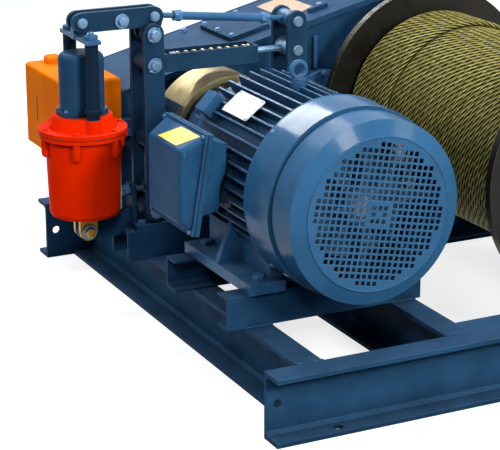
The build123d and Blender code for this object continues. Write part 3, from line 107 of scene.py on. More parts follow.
# Sizes of marks, in millimetres, and the colours of dirt and of painted shade
CHIP = 7.0              # broken paint and painted highlight along an edge
DRIFT = 35.0            # patches of dust
CORNER_REACH = 70.0     # from the next wall, where soot and painted shade hold
FEED = 1.4              # cutting marks, drawn coarser than the real 0.3 to show
FEED_BAND = 18.0        # tone bands between the tool's passes
FEED_DEEP = 0.05
WIRES = 9               # wires on a strand's outer side
WIRE_DEEP = 0.25
DUST, SOOT_AND_SHADE, GREASE_AND_SHADE = "#b9b6ac", "#0c141c", "#14120a"


def srgb(code):
    """Linear colour from a written #rrggbb colour."""
    parts = [int(code[i:i + 2], 16) / 255 for i in (1, 3, 5)]
    linear = [c / 12.92 if c <= 0.04045 else ((c + 0.055) / 1.055) ** 2.4 for c in parts]
    return tuple(linear) + (1.0,)


def add(tree, kind, links=None, **settings):
    """One node with its settings and links; gives back its first output in use."""
    node = tree.nodes.new(kind)
    for key, value in settings.items():
        setattr(node, key, value)
    for key, value in (links or {}).items():
        if isinstance(key, int):
            socket = node.inputs[key]
        else:
            socket = next(s for s in node.inputs if s.enabled and s.name == key)
        if isinstance(value, bpy.types.NodeSocket):
            tree.links.new(value, socket)
        else:
            socket.default_value = value
    return next((s for s in node.outputs if s.enabled), node)


def wear_and_light_edges(tree, place, tint, normal, colour, most):
    """Paint rubbed thin along the edges, in broken patches, whose paler colour is also a painted
    highlight.
    """
    flat = add(tree, "ShaderNodeNewGeometry").node.outputs["Normal"]
    turn = add(tree, "ShaderNodeVectorMath", {0: normal, 1: flat}, operation="DOT_PRODUCT")
    rim = add(tree, "ShaderNodeMapRange", {"Value": turn, "From Min": 0.995, "From Max": 0.9})
    chip = add(tree, "ShaderNodeTexNoise", {
        "Vector": place, "Scale": 1 / (CHIP * MM), "Detail": 3.0})
    chip = add(tree, "ShaderNodeMapRange", {
        "Value": chip, "From Min": 0.35, "From Max": 0.65, "To Max": most})
    worn_and_lit = add(tree, "ShaderNodeMath", {0: rim, 1: chip}, operation="MULTIPLY")
    return add(tree, "ShaderNodeMix", {"Factor": worn_and_lit, "A": tint, "B": srgb(colour)},
               data_type="RGBA")


def settle_dust(tree, place, facing, tint, roughness, most):
    """Pale dust on faces that look up, where it dulls the gloss too."""
    up = add(tree, "ShaderNodeSeparateXYZ", {"Vector": facing}).node.outputs["Z"]
    lying = add(tree, "ShaderNodeMapRange", {
        "Value": up, "From Min": 0.5, "From Max": 1.0, "To Max": most})
    drift = add(tree, "ShaderNodeTexNoise", {
        "Vector": place, "Scale": 1 / (DRIFT * MM), "Detail": 6.0})
    lying = add(tree, "ShaderNodeMath", {0: lying, 1: drift}, operation="MULTIPLY")
    tint = add(tree, "ShaderNodeMix", {"Factor": lying, "A": tint, "B": srgb(DUST)},
               data_type="RGBA")
    return tint, add(tree, "ShaderNodeMath", {0: roughness, 1: lying}, operation="ADD")


def hold_soot_and_shade(tree, tint, most):
    """Soot and painted shade in the corners, darker where a wall is near."""
    near = add(tree, "ShaderNodeAmbientOcclusion", {"Distance": CORNER_REACH * MM}, samples=6)
    held = add(tree, "ShaderNodeMapRange", {
        "Value": near.node.outputs["AO"], "From Min": 0.85, "From Max": 0.25, "To Max": most})
    return add(tree, "ShaderNodeMix", {"Factor": held, "A": tint, "B": srgb(SOOT_AND_SHADE)},
               data_type="RGBA")


def mark_turning(tree, place, axis, tint, normal, second):
    """Cutting marks and tone bands round an axis that runs along Y."""
    off = add(tree, "ShaderNodeVectorMath", {0: place, 1: (axis[0] * MM, 0, axis[1] * MM)},
              operation="SUBTRACT")
    flat = add(tree, "ShaderNodeVectorMath", {0: off, 1: (1, 0, 1)}, operation="MULTIPLY")
    radius = add(tree, "ShaderNodeVectorMath", {0: flat}, operation="LENGTH").node.outputs["Value"]
    along = add(tree, "ShaderNodeSeparateXYZ", {"Vector": place}).node.outputs["Y"]
    feed = add(tree, "ShaderNodeMath", {0: radius, 1: along}, operation="ADD")
    lines = add(tree, "ShaderNodeTexNoise", {
        "W": feed, "Scale": 1 / (FEED * MM), "Detail": 2.0}, noise_dimensions="1D")
    normal = add(tree, "ShaderNodeBump", {
        "Height": lines, "Distance": FEED_DEEP * MM, "Normal": normal})
    wide = add(tree, "ShaderNodeTexNoise", {
        "W": feed, "Scale": 1 / (FEED_BAND * MM), "Detail": 3.0}, noise_dimensions="1D")
    band = add(tree, "ShaderNodeMapRange", {
        "Value": wide, "From Min": 0.3, "From Max": 0.7, "To Max": 0.5})
    tint = add(tree, "ShaderNodeMix", {"Factor": band, "A": tint, "B": srgb(second)},
               data_type="RGBA")
    return tint, normal


def lay_wires(tree, tint, normal):
    """Wires along the strands, with dark grease and painted shade in the valleys and between the
    turns.
    """
    lobe = add(tree, "ShaderNodeAttribute", attribute_name="lobe").node.outputs["Fac"]
    wires = add(tree, "ShaderNodeMath", {0: lobe, 1: WIRES * math.pi}, operation="MULTIPLY")
    wires = add(tree, "ShaderNodeMath", {0: wires}, operation="SINE")
    normal = add(tree, "ShaderNodeBump", {
        "Height": wires, "Distance": WIRE_DEEP * MM, "Normal": normal})
    valley_grease_and_shade = add(tree, "ShaderNodeMapRange", {
        "Value": lobe, "From Min": 0.9, "From Max": 0.42, "To Max": 0.98})
    crest = add(tree, "ShaderNodeAttribute", attribute_name="crest").node.outputs["Fac"]
    shade_between_turns = add(tree, "ShaderNodeMapRange", {"Value": crest, "From Min": 0.7, "From Max": 0.3})
    grease_and_shade = add(tree, "ShaderNodeMath", {0: valley_grease_and_shade, 1: shade_between_turns}, operation="MAXIMUM")
    tint = add(tree, "ShaderNodeMix", {"Factor": grease_and_shade, "A": tint, "B": srgb(GREASE_AND_SHADE)},
               data_type="RGBA")
    return tint, normal


def surface(name, colour, second, blotch=90.0, rough=(0.3, 0.42), metal=0.0, coat=0.0, level=0.5,
            grain=(), edge=None, edge_wear_and_glint=0.6, dust=0.0, soot_and_shade=0.0, round_mm=1.5, axis=None,
            strands=False):
    """A coated or bare surface: two mixed colours, uneven gloss, fine relief, wear and dirt, with a
    painted highlight along the edges and painted shade in the corners.

    Blotch, round_mm and grain's (size, height) pairs are in millimetres; the gloss changes
    over a third of a blotch.
    """
    material = bpy.data.materials.new(name)
    material.use_nodes = True
    tree = material.node_tree
    tree.nodes.clear()
    coords = add(tree, "ShaderNodeTexCoord").node
    place = coords.outputs["Object"]
    patches = add(tree, "ShaderNodeTexNoise", {
        "Vector": place, "Scale": 1 / (blotch * MM), "Detail": 5.0, "Roughness": 0.6})
    share = add(tree, "ShaderNodeMapRange", {"Value": patches, "From Min": 0.36, "From Max": 0.66})
    tint = add(tree, "ShaderNodeMix", {"Factor": share, "A": srgb(colour), "B": srgb(second)},
               data_type="RGBA")
    gloss = add(tree, "ShaderNodeTexNoise", {
        "Vector": place, "Scale": 1 / (0.3 * blotch * MM), "Detail": 3.0})
    roughness = add(tree, "ShaderNodeMapRange", {
        "Value": gloss, "From Min": 0.3, "From Max": 0.7, "To Min": rough[0], "To Max": rough[1]})
    normal = add(tree, "ShaderNodeBevel", {"Radius": round_mm * MM}, samples=4)
    if edge:
        tint = wear_and_light_edges(tree, place, tint, normal, edge, edge_wear_and_glint)
    if dust:
        tint, roughness = settle_dust(tree, place, coords.outputs["Normal"], tint, roughness, dust)
    if soot_and_shade:
        tint = hold_soot_and_shade(tree, tint, soot_and_shade)
    for size, height in grain:
        lumps = add(tree, "ShaderNodeTexNoise", {
            "Vector": place, "Scale": 1 / (size * MM), "Detail": 2.0})
        normal = add(tree, "ShaderNodeBump", {
            "Height": lumps, "Distance": height * MM, "Normal": normal})
    if axis:
        tint, normal = mark_turning(tree, place, axis, tint, normal, second)
    if strands:
        tint, normal = lay_wires(tree, tint, normal)
    shader = add(tree, "ShaderNodeBsdfPrincipled", {
        "Base Color": tint, "Metallic": metal, "Roughness": roughness, "Normal": normal,
        "Specular IOR Level": level, "Coat Weight": coat, "Coat Roughness": 0.08})
    add(tree, "ShaderNodeOutputMaterial", {"Surface": shader})
    return material


# ---------------------------------------------------------------- materials

# brushed enamel on rolled steel: calm navy blue with a little dust on top, paler edges of thin
# paint and painted highlight, and painted shade in the corners
BLUE = surface("blue_enamel_on_rolled_steel", "#295074", "#214362", rough=(0.3, 0.46), level=0.014,
               grain=((5, 0.05), (1.2, 0.02)), edge="#5f8fb8", edge_wear_and_glint=0.8, dust=0.05,
               soot_and_shade=0.8)
# a darker copy of the frame's blue on the brake's flame-cut plates: near navy, with pale edges of
# rubbed paint and painted highlight
BRAKE_BLUE = surface("dark_blue_enamel_on_cut_plate", "#234460", "#1d3a54", rough=(0.3, 0.46),
                     level=0.025, grain=((5, 0.05), (1.2, 0.03)), edge="#6d9fcb", edge_wear_and_glint=0.85,
                     dust=0.06, soot_and_shade=0.75)
# enamel on the drawn sleeves of the push rods: the darkest blue, almost black
ROD_BLUE = surface("dark_blue_enamel_on_drawn_tube", "#16293c", "#112133", rough=(0.34, 0.46),
                   level=0.04, grain=((1.2, 0.02),), edge="#4a78a2", edge_wear_and_glint=0.7, soot_and_shade=0.6)
# enamel on sand castings: mid blue over a grainy skin, with painted shade between the ribs and pale
# edges of worn paint and painted highlight
CAST_BLUE = surface("blue_enamel_on_cast_iron", "#376a96", "#2d5b84", rough=(0.24, 0.4), level=0.12,
                    grain=((2.6, 0.22), (0.8, 0.05)), edge="#86b2d8", edge_wear_and_glint=0.8, dust=0.1,
                    soot_and_shade=0.7)
# thick enamel on the terminal box's smooth casting: even mid blue, with bright edges of rubbed
# paint and painted highlight
BOX_BLUE = surface("blue_enamel_on_die_casting", "#2d5c84", "#265076", rough=(0.24, 0.38),
                   level=0.016, grain=((3.5, 0.08), (0.8, 0.02)), edge="#93bbdd", edge_wear_and_glint=0.9,
                   dust=0.05, soot_and_shade=0.6)
# sprayed enamel on pressed sheet: the glossiest blue, with soft sky streaks
SHEET_BLUE = surface("blue_enamel_on_pressed_sheet", "#346792", "#2d5d84", blotch=160,
                     rough=(0.15, 0.24), coat=0.05, level=0.04, grain=((9, 0.03), (1.5, 0.008)),
                     edge="#9cc2e2", edge_wear_and_glint=0.6, dust=0.06, soot_and_shade=0.5)
# sprayed enamel on an aluminium casting: hot red with a waxy shine
RED = surface("red_enamel_on_cast_aluminium", "#ff3100", "#f42900", rough=(0.32, 0.46), level=0.005,
              grain=((4, 0.1), (1.0, 0.03)), edge="#ff6a3c", dust=0.05, soot_and_shade=0.35)
# sprayed enamel on a folded sheet box: flat, even orange, a little paler along the folds from worn
# paint and painted highlight
ORANGE = surface("orange_enamel_on_folded_sheet", "#ff8708", "#f67a02", blotch=140,
                 rough=(0.3, 0.42), level=0.003, grain=((6, 0.04),), edge="#ffb055", dust=0.06,
                 soot_and_shade=0.3)
# zinc-plated fasteners and pins: cool bright metal with a bluish tint
ZINC = surface("zinc_plated_steel", "#86a8c9", "#6c92b6", blotch=12, rough=(0.3, 0.45), metal=0.7,
               grain=((1.0, 0.02),), edge="#c2d5e6", soot_and_shade=0.5, round_mm=0.8)
# fasteners painted over with the frame: a touch paler than the plate they hold
BOLT_BLUE = surface("blue_enamel_on_fasteners", "#4a82b3", "#3b6f9f", blotch=10, rough=(0.26, 0.4),
                    level=0.4, grain=((1.0, 0.04),), edge="#a9cbe8", edge_wear_and_glint=0.9, soot_and_shade=0.6,
                    round_mm=0.8)
# yellow chromate on a forged foot: straw gold with darker patches
YELLOW_ZINC = surface("yellow_chromated_steel", "#c79a2e", "#946a18", blotch=14, rough=(0.32, 0.5),
                      metal=0.7, grain=((1.5, 0.05),), edge="#e2c478", soot_and_shade=0.5, round_mm=1.0)
# bare turned rim of the brake wheel: warm grey-gold bands round the axis
WHEEL = surface("turned_cast_steel", "#a89c72", "#82774f", blotch=45, rough=(0.36, 0.5), metal=0.85,
                edge="#efe7cb", round_mm=1.0, axis=(MX, MZ))
# ground shaft steel: plain grey metal, smooth enough to mirror softly
SHAFT = surface("ground_shaft_steel", "#8f9398", "#7b7f84", blotch=40, rough=(0.22, 0.36),
                metal=1.0, round_mm=1.0)
# greased wire rope: olive-yellow grease on dull wires, with dark grease and painted shade in the
# valleys
ROPE = surface("greased_steel_wire", "#b0a85c", "#7a7334", blotch=24, rough=(0.34, 0.5), metal=0.2,
               level=0.2, grain=((1.2, 0.08),), round_mm=0.4, strands=True)
# old grease and painted shade on the layers below: near black, so that the gaps between turns read
# as deep
ROPE_UNDER_GREASE_AND_SHADE = surface("lower_rope_grease_and_painted_shade", "#2c2812", "#1d1b0c", blotch=20, rough=(0.4, 0.6),
                     metal=0.3)
# drum plate darkened by rope grease: brown-black, with a lighter rim of rubbed plate and painted
# highlight
DRUM = surface("grease_stained_plate_steel", "#17150f", "#0f0d0a", blotch=70, rough=(0.36, 0.55),
               metal=0.2, level=0.25, grain=((4, 0.1),), edge="#a08e62", edge_wear_and_glint=0.9)
# moulded friction lining: matt brown with fine flecks
LINING = surface("moulded_friction_lining", "#4a4238", "#3a342c", blotch=6, rough=(0.75, 0.9),
                 grain=((0.8, 0.1),))
# varnished laminations of the stator and rotor: dull brown metal
CORE = surface("varnished_laminations", "#6e655b", "#584f46", blotch=20, rough=(0.4, 0.6),
               metal=0.6)
# moulded fan, seen only as paler spots through the grille
PLASTIC = surface("moulded_blue_nylon", "#4a6d8e", "#3f607f", rough=(0.35, 0.5),
                  grain=((0.7, 0.02),))
# pressed rubber: a thin matt black line between two painted faces
GASKET = surface("pressed_rubber_gasket", "#101316", "#181b1e", rough=(0.6, 0.8), level=0.2,
                 grain=((1.0, 0.03),))
# spring wire, shot-blasted and oiled: pale warm metal with a soft shine along each coil
SPRING = surface("oiled_spring_wire", "#b9b6a4", "#8d8672", blotch=18, rough=(0.24, 0.38),
                 metal=0.85, round_mm=0.5)
# bare anodised plate: near white and satin
WHITE_PLATE = surface("anodised_aluminium_plate", "#f2f6fa", "#dfe7ee", blotch=25,
                      rough=(0.35, 0.5), edge="#ffffff", round_mm=0.4)
# bare vinyl film: clear even yellow
YELLOW_FILM = surface("yellow_vinyl_film", "#ffe70a", "#f5d904", blotch=30, rough=(0.35, 0.45),
                      level=0.3, round_mm=0.3)
# bare enamelled plate: calm buff, slightly blotched
BUFF_FILM = surface("buff_enamel_plate", "#c3a588", "#b59679", blotch=60, rough=(0.4, 0.55),
                    round_mm=0.4)
# clear glass of the oil sight, dark with oil behind it
SIGHT = surface("oil_sight_glass", "#3b2f14", "#4a3b18", blotch=12, rough=(0.05, 0.1), coat=1.0,
                round_mm=0.4)

SLOT_SURFACE = {
    "blue_paint": BLUE, "red_paint": RED, "orange_paint": ORANGE, "bright_steel": ZINC,
    "brake_wheel_steel": WHEEL, "yellow_zinc": YELLOW_ZINC, "rope_wire": ROPE_UNDER_GREASE_AND_SHADE,
    "drum_iron": DRUM, "friction_lining": LINING, "core_steel": CORE, "fan_plastic": PLASTIC}
NODE_SURFACE = {"fan_cowl": SHEET_BLUE, "frame_bolts": BOLT_BLUE}
for material, names in (
        (BLUE, ("gearbox_cover", "inspection_cover")),
        (CAST_BLUE, ("motor_housing", "motor_end_shields", "gearbox_lower_housing", "bearing_caps",
                     "pedestal", "pedestal_cap", "push_rods", "tie_rod", "lifting_eyebolt")),
        (BOX_BLUE, ("terminal_box", "terminal_lid")),
        (BRAKE_BLUE, ("left_arm", "right_arm", "brake_lever", "spring_trough", "left_shoe",
                      "right_shoe")),
        (SHAFT, ("motor_shaft", "gearbox_input_shaft", "drum_shaft"))):
    NODE_SURFACE.update(dict.fromkeys(names, material))
for row in frame["record"]["subparts"]:
    data = NODES[row["node"]].data
    data.materials.clear()
    data.materials.append(NODE_SURFACE.get(row["node"], SLOT_SURFACE[row["material_slot"]]))


# ---------------------------------------------------------------- shapes, all in millimetres

SHARP = 35              # degrees between faces, from which an edge is drawn sharp
SOFT = 60               # the same for rope, wire, beads and rolled lips


class Form:
    """A mesh in the making."""

    def __init__(self):
        self.verts = []
        self.faces = []

    def add(self, shape, place=None):
        """Puts in one shape, where place says."""
        start = len(self.verts)
        verts, faces = shape
        self.verts += [place @ Vector(v) if place else Vector(v) for v in verts]
        self.faces += [[start + i for i in face] for face in faces]
        return self

    def mesh(self, name):
        """The mesh in metres, its faces turned outwards."""
        mesh = bpy.data.meshes.new(name)
        mesh.from_pydata([v * MM for v in self.verts], [], self.faces)
        made = bmesh.new()
        made.from_mesh(mesh)
        bmesh.ops.recalc_face_normals(made, faces=made.faces)
        made.to_mesh(mesh)
        made.free()
        return mesh


def stand(name, mesh, sharp=SHARP):
    """The mesh as an object in the scene."""
    mesh.shade_smooth()
    mesh.set_sharp_from_angle(angle=math.radians(sharp))
    item = bpy.data.objects.new(name, mesh)
    bpy.context.scene.collection.objects.link(item)
    return item


def show(name, mesh, material, body, sharp=SHARP):
    """The mesh as a piece of the object that moves with a CAD body."""
    if material:
        mesh.materials.clear()
        mesh.materials.append(material)
    piece = stand(name, mesh, sharp)
    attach(piece, body)
    return piece


def join(name, shapes, material, body, sharp=SHARP):
    """One piece from (shape, place) pairs."""
    form = Form()
    for shape, place in shapes:
        form.add(shape, place)
    return show(name, form.mesh(name), material, body, sharp)


def at(x, y, z):
    """Placement without a turn."""
    return Matrix.Translation((x, y, z))


def along_y(x, y, z):
    """Placement with Z of the shape along Y."""
    return at(x, y, z) @ Matrix.Rotation(-math.pi / 2, 4, "X")


def seat(point, normal):
    """Placement at a point with Z along the normal."""
    way = Vector(normal).normalized().to_track_quat("Z", "Y").to_matrix().to_4x4()
    return Matrix.Translation(point) @ way


def lie(point, x_way, y_way, z_way):
    """Placement at a point with its axes along three directions."""
    rows = [tuple(way) + (0,) for way in (x_way, y_way, z_way)] + [(0, 0, 0, 1)]
    return Matrix.Translation(point) @ Matrix(rows).transposed()


# Placement of an outline drawn in X and Z, with its thickness along Y
XZ_TO_Y = Matrix(((1, 0, 0, 0), (0, 0, 1, 0), (0, 1, 0, 0), (0, 0, 0, 1)))


def spread(count, radius, start=0.0):
    """Points evenly round a circle."""
    turns = [start + TURN * i / count for i in range(count)]
    return [(radius * math.cos(t), radius * math.sin(t)) for t in turns]


def lathe(profile, sides=24, closed=False):
    """Shape turned about Z from (radius, height) points."""
    verts, faces, rows = [], [], []
    for r, h in profile:
        count = sides if r > 0 else 1
        rows.append([len(verts) + i for i in range(count)])
        for i in range(count):
            angle = TURN * i / sides
            verts.append((r * math.cos(angle), r * math.sin(angle), h))
    pairs = list(zip(rows, rows[1:])) + ([(rows[-1], rows[0])] if closed else [])
    for a, b in pairs:
        for i in range(sides):
            k = (i + 1) % sides
            ring = [a[i % len(a)], a[k % len(a)], b[k % len(b)], b[i % len(b)]]
            ring = list(dict.fromkeys(ring))
            if len(ring) > 2:
                faces.append(ring)
    return verts, faces


def prism(outline, low, high, chamfer=0.0):
    """Block on an outline, with its upper edge cut back."""
    count = len(outline)
    cx = sum(p[0] for p in outline) / count
    cy = sum(p[1] for p in outline) / count
    reach = max(math.hypot(x - cx, y - cy) for x, y in outline)
    rows = [(low, 1.0), (high - chamfer, 1.0)]
    if chamfer:
        rows.append((high, 1 - chamfer / reach))
    verts = [(cx + k * (x - cx), cy + k * (y - cy), h) for h, k in rows for x, y in outline]
    faces = [list(range(count))[::-1], [len(verts) - count + i for i in range(count)]]
    for row in range(len(rows) - 1):
        a, b = row * count, (row + 1) * count
        for i in range(count):
            k = (i + 1) % count
            faces.append([a + i, a + k, b + k, b + i])
    return verts, faces


def slab(width, depth, low, high, corner, chamfer=0.0, steps=4):
    """Flat block with rounded corners."""
    outline = []
    for turn, (sx, sy) in zip((180, 270, 0, 90), LOOP):
        for i in range(steps + 1):
            angle = math.radians(turn + 90 * i / steps)
            outline.append((sx * (width / 2 - corner) + corner * math.cos(angle),
                            sy * (depth / 2 - corner) + corner * math.sin(angle)))
    return prism(outline, low, high, chamfer)


def sheet(corners, normal, thick):
    """Thin flat piece on corner points."""
    rise = Vector(normal).normalized() * thick
    low = [Vector(c) for c in corners]
    count = len(low)
    faces = [list(range(count))[::-1], [count + i for i in range(count)]]
    faces += [[i, (i + 1) % count, count + (i + 1) % count, count + i] for i in range(count)]
    return low + [c + rise for c in low], faces


def tube(path, radius, sides=8, closed=False):
    """Round bar along points."""
    points = [Vector(p) for p in path]
    count = len(points)
    verts, faces = [], []
    side = None
    for i, p in enumerate(points):
        before = points[(i - 1) % count] if closed or i else p
        after = points[(i + 1) % count] if closed or i < count - 1 else p
        way = (after - before).normalized()
        if side is None:
            side = way.orthogonal().normalized()
        side = (side - way * side.dot(way)).normalized()
        other = way.cross(side)
        for k in range(sides):
            angle = TURN * k / sides
            verts.append(p + radius * (math.cos(angle) * side + math.sin(angle) * other))
    for i in range(count if closed else count - 1):
        a, b = i * sides, ((i + 1) % count) * sides
        for k in range(sides):
            faces.append([a + k, a + (k + 1) % sides, b + (k + 1) % sides, b + k])
    if not closed:
        faces.append(list(range(sides))[::-1])
        faces.append([(count - 1) * sides + k for k in range(sides)])
    return verts, faces


# ---------------------------------------------------------------- node trees for what repeats

def open_tree(name, inputs):
    """Geometry tree with named inputs; gives back the tree and those inputs' sockets."""
    tree = bpy.data.node_groups.new(name, "GeometryNodeTree")
    for label, kind in [("Geometry", "NodeSocketGeometry")] + inputs:
        tree.interface.new_socket(label, in_out="INPUT", socket_type=kind)
    tree.interface.new_socket("Geometry", in_out="OUTPUT", socket_type="NodeSocketGeometry")
    return tree, tree.nodes.new("NodeGroupInput").outputs


def close_tree(tree, geometry, material):
    """Ends a tree with real copies that carry their material."""
    whole = add(tree, "GeometryNodeRealizeInstances", {"Geometry": geometry})
    painted = add(tree, "GeometryNodeSetMaterial", {"Geometry": whole, "Material": material})
    add(tree, "NodeGroupOutput", {"Geometry": painted})
    return tree


def fastener_tree():
    """One unit at each point, Z along its aim and X along its side, spun by a fixed chance."""
    tree, given = open_tree("fasteners_on_points", [
        ("Unit", "NodeSocketObject"), ("Size", "NodeSocketFloat"), ("Spin", "NodeSocketFloat"),
        ("Seed", "NodeSocketInt"), ("Material", "NodeSocketMaterial")])
    copied = add(tree, "GeometryNodeObjectInfo", {"Object": given["Unit"]}).node.outputs["Geometry"]
    aim = add(tree, "GeometryNodeInputNamedAttribute", {"Name": "aim"}, data_type="FLOAT_VECTOR")
    side = add(tree, "GeometryNodeInputNamedAttribute", {"Name": "side"}, data_type="FLOAT_VECTOR")
    upright = add(tree, "FunctionNodeAxesToRotation", {0: aim, 1: side},
                  primary_axis="Z", secondary_axis="X")
    angle = add(tree, "FunctionNodeRandomValue", {"Max": given["Spin"], "Seed": given["Seed"]},
                data_type="FLOAT")
    spin = add(tree, "FunctionNodeAxisAngleToRotation", {"Axis": UP, "Angle": angle})
    turned = add(tree, "FunctionNodeRotateRotation", {"Rotation": upright, "Rotate By": spin},
                 rotation_space="LOCAL")
    placed = add(tree, "GeometryNodeInstanceOnPoints", {
        "Points": given["Geometry"], "Instance": copied, "Rotation": turned,
        "Scale": given["Size"]})
    return close_tree(tree, placed, given["Material"])


def weld_tree():
    """Overlapping ripples along the seam lines."""
    tree, given = open_tree("weld_ripples_on_seams", [
        ("Unit", "NodeSocketObject"), ("Pitch", "NodeSocketFloat"), ("Seed", "NodeSocketInt"),
        ("Material", "NodeSocketMaterial")])
    copied = add(tree, "GeometryNodeObjectInfo", {"Object": given["Unit"]}).node.outputs["Geometry"]
    line = add(tree, "GeometryNodeMeshToCurve", {"Mesh": given["Geometry"]})
    spaced = add(tree, "GeometryNodeResampleCurve", {"Curve": line, "Length": given["Pitch"]},
                 mode="LENGTH")
    tangent = add(tree, "GeometryNodeInputTangent")
    way = add(tree, "FunctionNodeAlignRotationToVector", {"Vector": tangent}, axis="X")
    size = add(tree, "FunctionNodeRandomValue", {"Min": 0.85, "Max": 1.2, "Seed": given["Seed"]},
               data_type="FLOAT")
    placed = add(tree, "GeometryNodeInstanceOnPoints", {
        "Points": spaced, "Instance": copied, "Rotation": way, "Scale": size})
    return close_tree(tree, placed, given["Material"])


def rope_tree():
    """Helical rope with twisted strands, wound about Z.

    Its mesh carries lobe, 0 in a valley and 1 on a strand's crest, and crest, 0 on the
    drum's side and 1 on the outer side.
    """
    tree, given = open_tree("rope_lay_on_helix", [
        ("Radius", "NodeSocketFloat"), ("Length", "NodeSocketFloat"), ("Turns", "NodeSocketFloat"),
        ("Rope", "NodeSocketFloat"), ("Lay", "NodeSocketFloat"),
        ("Material", "NodeSocketMaterial")])
    helix = add(tree, "GeometryNodeCurveSpiral", {
        "Resolution": ROPE_STEPS, "Rotations": given["Turns"], "Start Radius": given["Radius"],
        "End Radius": given["Radius"], "Height": given["Length"]})
    run = add(tree, "GeometryNodeSplineParameter").node.outputs["Length"]
    lays = add(tree, "ShaderNodeMath", {0: run, 1: given["Lay"]}, operation="DIVIDE")
    tilt = add(tree, "ShaderNodeMath", {0: lays, 1: TURN}, operation="MULTIPLY")
    tilted = add(tree, "GeometryNodeSetCurveTilt", {"Curve": helix, "Tilt": tilt})
    circle = add(tree, "GeometryNodeCurvePrimitiveCircle", {
        "Resolution": STRAND_POINTS * ROPE_STRANDS, "Radius": 1.0})
    share = add(tree, "GeometryNodeSplineParameter").node.outputs["Factor"]
    lobe = add(tree, "ShaderNodeMath", {0: share, 1: math.pi * ROPE_STRANDS}, operation="MULTIPLY")
    lobe = add(tree, "ShaderNodeMath", {0: lobe}, operation="SINE")
    lobe = add(tree, "ShaderNodeMath", {0: lobe}, operation="ABSOLUTE")
    round_lobe = add(tree, "ShaderNodeMath", {0: lobe}, operation="SQRT")
    reach = add(tree, "ShaderNodeMapRange", {"Value": round_lobe, "To Min": 0.37, "To Max": 0.5})
    reach = add(tree, "ShaderNodeMath", {0: reach, 1: given["Rope"]}, operation="MULTIPLY")
    spot = add(tree, "GeometryNodeInputPosition")
    spot = add(tree, "ShaderNodeVectorMath", {0: spot, "Scale": reach}, operation="SCALE")
    section = add(tree, "GeometryNodeSetPosition", {"Geometry": circle, "Position": spot})
    section = add(tree, "GeometryNodeStoreNamedAttribute", {
        "Geometry": section, "Name": "lobe", "Value": lobe}, data_type="FLOAT", domain="POINT")
    swept = add(tree, "GeometryNodeCurveToMesh", {
        "Curve": tilted, "Profile Curve": section, "Fill Caps": True})
    spot = add(tree, "GeometryNodeInputPosition")
    flat = add(tree, "ShaderNodeVectorMath", {0: spot, 1: (1, 1, 0)}, operation="MULTIPLY")
    out = add(tree, "ShaderNodeVectorMath", {0: flat}, operation="LENGTH").node.outputs["Value"]
    out = add(tree, "ShaderNodeMath", {0: out, 1: given["Radius"]}, operation="SUBTRACT")
    out = add(tree, "ShaderNodeMath", {0: out, 1: given["Rope"]}, operation="DIVIDE")
    out = add(tree, "ShaderNodeMath", {0: out, 1: 0.5}, operation="ADD")
    marked = add(tree, "GeometryNodeStoreNamedAttribute", {
        "Geometry": swept, "Name": "crest", "Value": out}, data_type="FLOAT", domain="POINT")
    return close_tree(tree, marked, given["Material"])


def grow(name, source, tree, values, place=None):
    """Runs a tree on a source mesh and keeps what it makes as a plain mesh."""
    holder = bpy.data.objects.new(name + "_source", source)
    bpy.context.scene.collection.objects.link(holder)
    modifier = holder.modifiers.new(name, "NODES")
    modifier.node_group = tree
    for item in tree.interface.items_tree:
        if item.in_out == "INPUT" and item.name in values:
            modifier[item.identifier] = values[item.name]
    shaped = holder.evaluated_get(bpy.context.evaluated_depsgraph_get())
    mesh = bpy.data.meshes.new_from_object(shaped)
    holder.modifiers.clear()
    bpy.data.objects.remove(holder)
    mesh.name = name
    if place:
        mesh.transform(place)
    return mesh


FASTENERS = fastener_tree()
WELDS = weld_tree()
ROPE_LAYS = rope_tree()


# ---------------------------------------------------------------- rope and spring

ROPE_YS = ends("rope_core", 1)
ROPE_TOP = ends("rope_winding", 2)[1] - MZ
LOWER_TOP = ROPE_TOP - ROPE_SINK * ROPE_D


def rope_layer(name, ys, top):
    """One layer of rope between two places along the drum, its strands in step at each turn."""
    long, radius = ys[1] - ys[0] - ROPE_D, top - ROPE_D / 2
    turns = int(long / (ROPE_D + ROPE_GAP))
    per_turn = math.hypot(TURN * radius, long / turns)
    lay = ROPE_STRANDS * per_turn / round(ROPE_STRANDS * per_turn / ROPE_LAY)
    empty = bpy.data.meshes.new(name + "_start")
    mesh = grow(name, empty, ROPE_LAYS, {
        "Radius": radius * MM, "Length": long * MM, "Turns": float(turns), "Rope": ROPE_D * MM,
        "Lay": lay * MM, "Material": ROPE},
        along_y(DX * MM, (ys[0] + ROPE_D / 2) * MM, MZ * MM))
    return show(name, mesh, None, "drum", SOFT)


def wind_rope():
    """The full layer, the part layer on it, and the waved face of the layers below."""
    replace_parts(rope_layer("rope_full_layer", ROPE_YS, LOWER_TOP), "rope_winding")
    rope_layer("rope_last_layer", (ROPE_STEP_Y, ROPE_YS[1]), ROPE_TOP)
    shell_r = ends("drum_shell", 2)[1] - MZ + SHELL_CLEAR
    mid_r = LOWER_TOP - ROPE_D - UNDER_WAVE
    profile = [(shell_r, -ROPE_YS[1]), (shell_r, -ROPE_YS[0])]
    steps = 4 * UNDER_TURNS
    for i in range(steps + 1):
        y = ROPE_YS[0] + (ROPE_YS[1] - ROPE_YS[0]) * i / steps
        profile.append((mid_r + UNDER_WAVE * math.cos(TURN * i / 4), -y))
    back = at(DX, 0, MZ) @ Matrix.Rotation(math.pi / 2, 4, "X")
    under = Form().add(lathe(profile, sides=96, closed=True), back).mesh("rope_under_layers")
    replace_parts(show("rope_under_layers", under, ROPE_UNDER_GREASE_AND_SHADE, "drum"), "rope_core")


